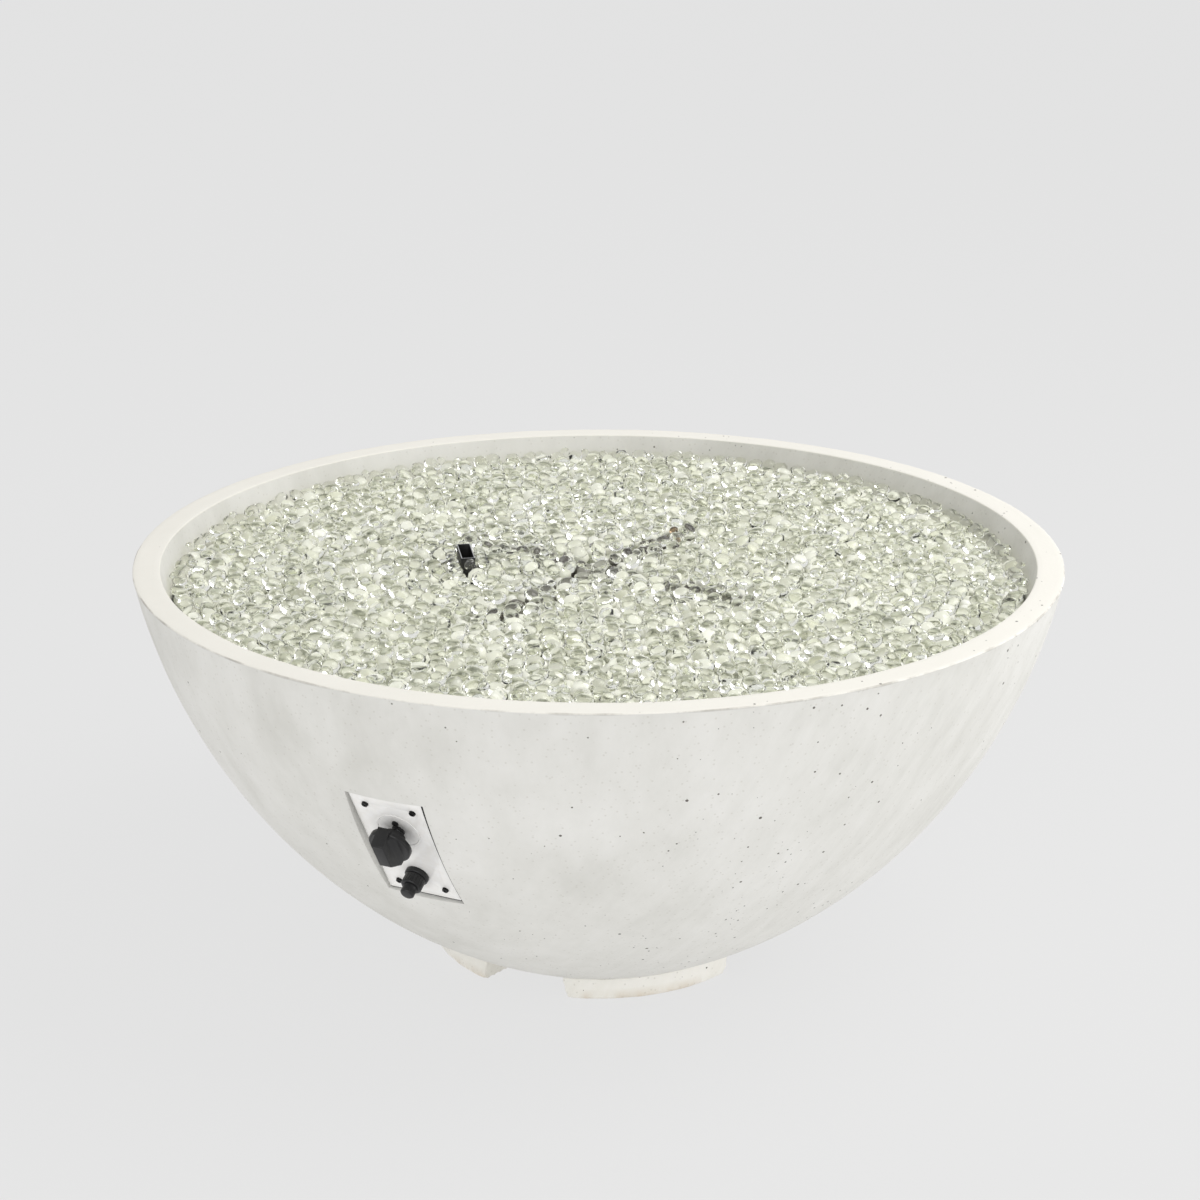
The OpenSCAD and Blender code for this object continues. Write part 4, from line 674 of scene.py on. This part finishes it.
# %% Battery sleeve
SLEEVE_DEPTH, SLEEVE_BLUR = 12 * MM, 0.1 * MM
sleeve, tree, shader, place = start_finish("printed_battery_sleeve", {"Roughness": 0.3, "Coat Weight": 0.4})
along = add_node(tree, "VectorMath", {0: place, 1: tuple(outward)}, operation="DOT_PRODUCT")
meet = (panel_axes @ Vector((0, IGNITER_UP, -SLEEVE_DEPTH))).dot(outward)
band = add_node(tree, "MapRange", {"Value": along.outputs["Value"], "From Min": meet - SLEEVE_BLUR,
                                   "From Max": meet + SLEEVE_BLUR})
join(tree, ramp(tree, band.outputs[0], [(0.0, "#1b1b1c"), (1.0, "#b07a45")]), shader, "Base Color")
dress(nodes["battery"], sleeve)
print("battery in a", sleeve.name)

# %% [markdown]
# The gems are clear tumbled glass, melted round: oblate beads about 20 mm across and 12 mm
# thick. One bead is modelled by hand from a ball of a few dozen faces, flattened and made a little
# uneven, in three shapes, and a few thousand copies of them fill the bowl.

# %% Three gem shapes
GEM_SEGMENTS, GEM_BANDS = 9, 6


def model_gem(name, stretch, unevenness, seed):
    bpy.ops.object.select_all(action="DESELECT")
    bpy.ops.mesh.primitive_uv_sphere_add(segments=GEM_SEGMENTS, ring_count=GEM_BANDS, radius=1)
    gem = bpy.context.object
    gem.name = name
    bpy.ops.object.mode_set(mode="EDIT")
    bpy.ops.mesh.select_all(action="SELECT")
    bpy.ops.transform.resize(value=stretch)
    bpy.ops.transform.vertex_random(offset=unevenness, normal=1.0, seed=seed)
    bpy.ops.mesh.vertices_smooth(factor=0.3)
    bpy.ops.object.mode_set(mode="OBJECT")
    points = np.array([v.co for v in gem.data.vertices])
    faces = [list(p.vertices) for p in gem.data.polygons]
    bpy.data.objects.remove(gem)
    return points, faces


gem_shapes = [
    model_gem("round_gem", (1.0, 0.96, 0.60), 0.06, 3),
    model_gem("oval_gem", (1.08, 0.86, 0.58), 0.08, 5),
    model_gem("thick_gem", (0.94, 0.92, 0.68), 0.10, 8),
]
print("gem shapes of", [len(f) for _, f in gem_shapes], "faces")

# %% [markdown]
# The bed has a level top that rises a little to the middle. The gas keeps a furrow open over
# each of the burner's four arms. Two distances decide both: how far a place lies from the
# nearest arm's middle line, and how far from the hood that shelters the spark.

# %% Level of the bed
GLASS_EDGE_Z = RIM_TOP - 14 * MM
GLASS_RISE = 6 * MM
BURNER_TURN = math.radians(-10)
ARM_L = 0.195


def wall_in(z):
    return LEDGE_OUT + (rim_in - LEDGE_OUT) * (z - LEDGE_Z) / (RIM_TOP - LEDGE_Z)


def level(x, y):
    return GLASS_EDGE_Z + GLASS_RISE * (1 - math.hypot(x, y) / wall_in(GLASS_EDGE_Z))


def hood_reach(x, y):
    off = Vector((x, y)) - HOOD_AT
    u, v = abs(off.dot(long_way)) - HOOD_HALF.x, abs(off.dot(short_way)) - HOOD_HALF.y
    return math.hypot(max(u, 0), max(v, 0))


def arm_reach(x, y):
    u = abs(x * math.cos(BURNER_TURN) + y * math.sin(BURNER_TURN))
    v = abs(y * math.cos(BURNER_TURN) - x * math.sin(BURNER_TURN))
    u, v = max(u, v), min(u, v)
    return v if u < ARM_L else math.hypot(v, u - ARM_L)


print("bed level", round(level(0, 0), 4), "m in the middle")

# %% [markdown]
# The top layer lies where the CAD bed has it: in rings of six gems more each time, every gem a
# little off its even place and sunk a little, by the same formula. A gem's width follows from
# how near its neighbours are, as in a real bed, where small gems end up between close ones.
# Around the hood the gems are heaped against its walls, nearly to their top.

# %% Top layer
GEM_RINGS, GEM_SHIFT, GEM_SINK, FURROW_DEPTH = 24, 4 * MM, 4 * MM, 12 * MM
GEM_PITCH = rim_in / GEM_RINGS
GEM_CLEAR, GEM_OVAL = 0.8 * MM, 1.08
GEM_FILL, GEM_LEAST, GEM_SMALL, GEM_LARGE = 0.53, 5 * MM, 8 * MM, 11.5 * MM
dice = random.Random(42)


def chance(ring, i, use):
    mixed = 43758.5453 * math.sin(math.radians(127.1 * ring + 311.7 * i + 74.7 * use))
    return mixed - math.floor(mixed)


def gem_top(ring, i):
    turn = math.radians(60 * i / ring) if ring else 0.0
    x = ring * GEM_PITCH * math.cos(turn) + GEM_SHIFT * (2 * chance(ring, i, 1) - 1)
    y = ring * GEM_PITCH * math.sin(turn) + GEM_SHIFT * (2 * chance(ring, i, 2) - 1)
    furrow = FURROW_DEPTH if arm_reach(x, y) < GEM_PITCH / 2 else 0
    return x, y, level(x, y) - GEM_SINK * chance(ring, i, 3) - furrow


spots = [gem_top(ring, i) for ring in range(GEM_RINGS) for i in range(max(6 * ring, 1))]
plan = np.array([s[:2] for s in spots])
gaps = np.hypot(*(plan[:, None] - plan[None]).transpose(2, 0, 1))
gaps = np.sort(gaps, axis=1)[:, 1:4].mean(axis=1)
top_layer = []
for (x, y, z), gap in zip(spots, gaps):
    room = min(hood_reach(x, y), wall_in(z - GEM_SMALL) - math.hypot(x, y)) - GEM_CLEAR
    half_w = min(max(GEM_FILL * gap, GEM_SMALL), GEM_LARGE, room / GEM_OVAL)
    if half_w > GEM_LEAST:
        half_t = half_w * dice.uniform(0.56, 0.66)
        top_layer.append((x, y, z - half_t, half_w, half_t))
print("top layer of", len(top_layer), "gems", round(GEM_PITCH / MM, 1), "mm apart")

# %% Heap against the hood
HEAP_OFF, HEAP_STEP, HEAP_TOP = 9.5 * MM, 15 * MM, RIM_TOP - 6.5 * MM
long_half, short_half = HOOD_HALF.x + HEAP_OFF, HOOD_HALF.y + HEAP_OFF
heap = [(side * long_half, v) for side in (-1, 1) for v in (-short_half, 0, short_half)]
heap += [(HEAP_STEP * (k - 1.5), side * short_half) for side in (-1, 1) for k in range(4)]
for u, v in heap:
    spot = HOOD_AT + u * long_way + v * short_way
    half_w = dice.uniform(7.5, 8.2) * MM
    half_t = half_w * dice.uniform(0.58, 0.68)
    top_layer.append((spot.x, spot.y, HEAP_TOP - half_t - dice.uniform(0, 2) * MM, half_w, half_t))
print("heap of", len(heap), "gems")

# %% [markdown]
# The gems under the top layer are poured: each drops to the lowest of a handful of random
# places, which packs them the way a poured bed settles. The same pour, with smaller gems, then
# fills the gaps that the top layer leaves. Both keep a slit open over the burner's arms.

# %% Pour the rest
BED_DEPTH = 28 * MM
CELL = 24 * MM
NESTING, DROP_TRIES, WALL_BELOW = 0.92, 7, 12 * MM
cells = {}


def settle(gem):
    cells.setdefault((int(gem[0] // CELL), int(gem[1] // CELL)), []).append(gem)


def rest_height(x, y, half_w, half_t):
    best = GLASS_EDGE_Z - BED_DEPTH + half_t
    cx, cy = int(x // CELL), int(y // CELL)
    for i in (cx - 1, cx, cx + 1):
        for j in (cy - 1, cy, cy + 1):
            for gx, gy, gz, gw, gt in cells.get((i, j), ()):
                far = ((gx - x) ** 2 + (gy - y) ** 2) / (gw + half_w) ** 2
                if far < 1:
                    best = max(best, gz + (gt + half_t) * NESTING * math.sqrt(1 - far))
    return best


def pour(sizes_mm, below_top, slit, patience):
    settled, misses = [], 0
    reach = wall_in(GLASS_EDGE_Z - below_top - WALL_BELOW) - GEM_CLEAR
    while misses < patience:
        half_w = dice.uniform(*sizes_mm) * MM
        half_t = half_w * dice.uniform(0.56, 0.68)
        found = []
        for _ in range(DROP_TRIES):
            r = (reach - half_w * GEM_OVAL) * math.sqrt(dice.random())
            turn = dice.uniform(0, 2 * math.pi)
            x, y = r * math.cos(turn), r * math.sin(turn)
            furrow = FURROW_DEPTH if arm_reach(x, y) < slit + half_w else 0
            if hood_reach(x, y) > half_w * GEM_OVAL + GEM_CLEAR:
                z = rest_height(x, y, half_w, half_t)
                found.append((z + half_t - level(x, y) + furrow, x, y, z))
        lift, x, y, z = min(found)
        if lift > -below_top:
            misses += 1
            continue
        misses = 0
        settle((x, y, z, half_w, half_t))
        settled.append((x, y, z, half_w, half_t))
    return settled


lower = pour((8.5, 10.5), 10 * MM, GEM_PITCH / 2, 60)
for gem in top_layer:
    settle(gem)
fillers = pour((6.0, 8.5), -1 * MM, 2.5 * MM, 200)
poured = lower + top_layer + fillers
print("poured", len(lower), "gems below and", len(fillers), "between")

# %% [markdown]
# The copies are joined into a few meshes, because thousands of separate objects would be slow to
# handle. Each copy keeps its own size, tilt and tone, and the tone is stored on its points so
# that the glass can differ a little from gem to gem. The tone also carries painted shade: gems
# sunk in a furrow over the burner's arms are drawn dark brown, and gems near an arm a little
# darker, for the shade inside the furrows. Gems below the top layer get a second, milky finish:
# light that has passed several gems arrives there from all sides, and following every such ray
# through clear glass would cost far more than it shows. For the same reason the clear gems let
# lamp light straight through, where real ones bend and gather it.

# %% Join the gems into pieces
GEM_PIECES = 4
CLEAR_DEPTH = 13 * MM
FURROW_SHADE_REACH = 16 * MM
SUNK_DEPTH = 5 * MM
TILT = 0.3


def gem_piece(name, share):
    points, faces, gem_tones_and_shade, deep, start = [], [], [], [], 0
    for x, y, z, half_w, half_t in share:
        shape, mesh_faces = gem_shapes[dice.randrange(len(gem_shapes))]
        tilt = Matrix.Rotation(dice.gauss(0, TILT), 3, "X") @ Matrix.Rotation(dice.gauss(0, TILT), 3, "Y")
        turn = np.array(tilt @ Matrix.Rotation(dice.uniform(0, 2 * math.pi), 3, "Z"))
        points.append((shape * half_w) @ turn.T + (x, y, z))
        faces += [[v + start for v in face] for face in mesh_faces]
        start += len(shape)
        # Gems sunk in a furrow are drawn dark, and gems near an arm a little darker: painted shade of the
        # furrows.
        sunk = z + half_t < level(x, y) - SUNK_DEPTH and arm_reach(x, y) < GEM_PITCH / 2
        furrow_shade = dice.uniform(0.85, 1) if sunk else 0.6 * max(0, 1 - arm_reach(x, y) / FURROW_SHADE_REACH)
        gem_tones_and_shade += [dice.uniform(0.4, 1) * (1 - furrow_shade)] * len(shape)
        deep += [int(z < level(x, y) - CLEAR_DEPTH)] * len(mesh_faces)
    mesh = bpy.data.meshes.new(name)
    mesh.from_pydata(np.concatenate(points).tolist(), [], faces)
    mesh.attributes.new("gem_tone_and_shade", "FLOAT", "POINT").data.foreach_set("value", gem_tones_and_shade)
    mesh.polygons.foreach_set("material_index", deep)
    mesh.shade_smooth()
    return start_piece(name, mesh)


def quarter(gem):
    return int((math.atan2(gem[1], gem[0]) + math.pi) / (2 * math.pi) * GEM_PIECES) % GEM_PIECES


gem_pieces = [gem_piece("glass_gems_%d" % (q + 1), [g for g in poured if quarter(g) == q])
              for q in range(GEM_PIECES)]
print("gem pieces of", [len(p.data.polygons) for p in gem_pieces], "faces")

# %% Clear glass and deeper glass
def glass_finish(name, tints, shader_inputs):
    finish, tree, shader, _ = start_finish(name, shader_inputs)
    tone = add_node(tree, "Attribute", attribute_name="gem_tone_and_shade").outputs["Fac"]
    join(tree, ramp(tree, tone, list(zip((0.0, 0.3, 1.0), tints))), shader, "Base Color")
    return finish


# The dark brown first stop of each ramp, for the lowest tone, is the painted shade of the furrows.
clear_glass = glass_finish("clear_fire_glass", ("#8d7557", "#f3f4eb", "#fefffc"),
                           {"Roughness": 0.02, "IOR": 1.46, "Transmission Weight": 1.0})
tree = clear_glass.node_tree
shader = tree.nodes["Principled BSDF"]
path = add_node(tree, "LightPath")
passing = add_node(tree, "Math", {0: path.outputs["Is Shadow Ray"], 1: path.outputs["Is Diffuse Ray"]},
                   operation="MAXIMUM")
open_way = add_node(tree, "BsdfTransparent", {"Color": linear("#f8f8f3")})
mixed = add_node(tree, "MixShader", {"Fac": passing.outputs[0], 1: shader.outputs[0], 2: open_way.outputs[0]})
tree.links.new(mixed.outputs[0], tree.nodes["Material Output"].inputs["Surface"])
deep_glass = glass_finish("deep_fire_glass", ("#2f251c", "#eff0e5", "#fdfdf8"),
                          {"Roughness": 0.12, "IOR": 1.48})
for piece in gem_pieces:
    piece.data.materials.append(clear_glass)
    piece.data.materials.append(deep_glass)
    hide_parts("glass_bed")
    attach(piece, "fire_bowl")
print("glass on", len(gem_pieces), "gem pieces")

# %% [markdown]
# Below the gems that show, the bed goes on down to the burner tray, but nothing of it can be told
# apart there. A lumpy sheet stands for it, just over the burner: a thin turned disc, raised in
# lumps by a Displace modifier, with a hole cut where the hood stands. Its colour is drawn in cells
# the size of gems, darker towards each cell's edge: painted shade between the packed gems.

# %% Glass under the gems
SHEET_Z, SHEET_T = GLASS_EDGE_Z - BED_DEPTH, 0.4 * MM
SHEET_RINGS = np.linspace(0, wall_in(SHEET_Z) - 2.5 * MM, 44)
HOOD_GAP, HOOD_CUT, LUMP_MM = 0.6 * MM, 20 * MM, 18
sheet = [(r, SHEET_Z) for r in SHEET_RINGS] + [(r, SHEET_Z + SHEET_T) for r in SHEET_RINGS[::-1]]
underlay = turned("glass_underlay", sheet, 144, False)
upper_side = underlay.vertex_groups.new(name="upper_side")
upper_side.add([v.index for v in underlay.data.vertices if v.co.z > SHEET_Z + SHEET_T / 2], 1, "REPLACE")
apply_modifier(underlay, "DISPLACE", texture=cast_texture("packed_lumps", 14), strength=6 * MM, mid_level=0,
               direction="Z", vertex_group="upper_side")
hood_axes = Matrix.Translation((*HOOD_AT, SHEET_Z)) @ Matrix.Rotation(HOOD_TURN, 4, "Z")
hood_corner = Vector((HOOD_HALF.x + HOOD_GAP, HOOD_HALF.y + HOOD_GAP, HOOD_CUT))
cut_box(underlay, hood_axes, -hood_corner, hood_corner)
underlay.data.shade_smooth()
packed, tree, shader, place = start_finish("packed_fire_glass", {"Roughness": 0.6})
# Darker towards each cell's edge: painted shade between the packed gems.
lumps = add_node(tree, "TexVoronoi", {"Vector": place, "Scale": 1000 / LUMP_MM})
join(tree, ramp(tree, lumps.outputs["Distance"], [(0.0, "#eff0e7"), (0.5, "#d6d8cb"), (0.9, "#9a9d8d")]),
     shader, "Base Color")
dress(underlay, packed)
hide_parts("glass_bed")
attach(underlay, "fire_bowl")
print("sheet of", len(underlay.data.polygons), "faces")

# %% [markdown]
# The studio is a plain pale floor under soft light: one large lamp overhead, a weaker one on the
# right, a low one in front that reaches under the bowl's curve, and an even sky. The floor is a
# lit table, which shines a little by itself and fills the shade below the bowl. The camera sees
# it mostly as an even pale grey, and the rest of it takes the bowl's soft shadow.

# %% Floor, sky and lamps
BACKDROP = linear("#e4e4e4")
SEEN_SHARE, LIT_SHARE, SKY_LIGHT = 0.90, 0.60, 0.70
FLOOR_SIZE, FLOOR_DROP = 80, 0.5 * MM
LAMP_AIM = Vector((0, 0, 0.3))

bpy.ops.object.select_all(action="DESELECT")
bpy.ops.mesh.primitive_plane_add(size=FLOOR_SIZE, location=(0, 0, -FLOOR_DROP))
floor = bpy.context.object
floor.name = "studio_floor"
pale = bpy.data.materials.new("studio_floor")
tree = empty_tree(pale)


def seen_directly(tree):
    path = add_node(tree, "LightPath")
    rays = [path.outputs[n] for n in ("Is Camera Ray", "Is Glossy Ray", "Is Transmission Ray")]
    both = add_node(tree, "Math", {0: rays[0], 1: rays[1]}, operation="MAXIMUM")
    return add_node(tree, "Math", {0: both.outputs[0], 1: rays[2]}, operation="MAXIMUM").outputs[0]


matt = add_node(tree, "BsdfDiffuse", {"Color": linear("#fafafa")})
glow = add_node(tree, "Emission", {"Color": BACKDROP, "Strength": 1.0})
share = add_node(tree, "MapRange", {"Value": seen_directly(tree), "To Min": LIT_SHARE, "To Max": SEEN_SHARE})
mixed = add_node(tree, "MixShader", {"Fac": share.outputs[0], 1: matt.outputs[0], 2: glow.outputs[0]})
add_node(tree, "OutputMaterial", {"Surface": mixed.outputs[0]})
dress(floor, pale)

sky = bpy.data.worlds.new("studio_sky")
scene.world = sky
tree = empty_tree(sky)
soft = add_node(tree, "Background", {"Color": linear("#ffffff"), "Strength": SKY_LIGHT})
plain = add_node(tree, "Background", {"Color": BACKDROP, "Strength": 1.0})
mixed = add_node(tree, "MixShader", {"Fac": seen_directly(tree), 1: soft.outputs[0], 2: plain.outputs[0]})
tree.links.new(mixed.outputs[0], add_node(tree, "OutputWorld").inputs["Surface"])


def add_lamp(name, at, power, size):
    aim = (LAMP_AIM - Vector(at)).to_track_quat("-Z", "Y")
    bpy.ops.object.light_add(type="AREA", location=at, rotation=aim.to_euler())
    lamp = bpy.context.object
    lamp.name = name
    lamp.data.energy = power
    lamp.data.size = size


add_lamp("key_lamp", (1.9, 0.6, 3.2), 56, 2.5)
add_lamp("right_lamp", (3.3, 0.4, 0.9), 22, 2.0)
add_lamp("low_front_lamp", (0.1, -3.2, 0.25), 22, 1.8)
scene.view_settings.view_transform = "Standard"
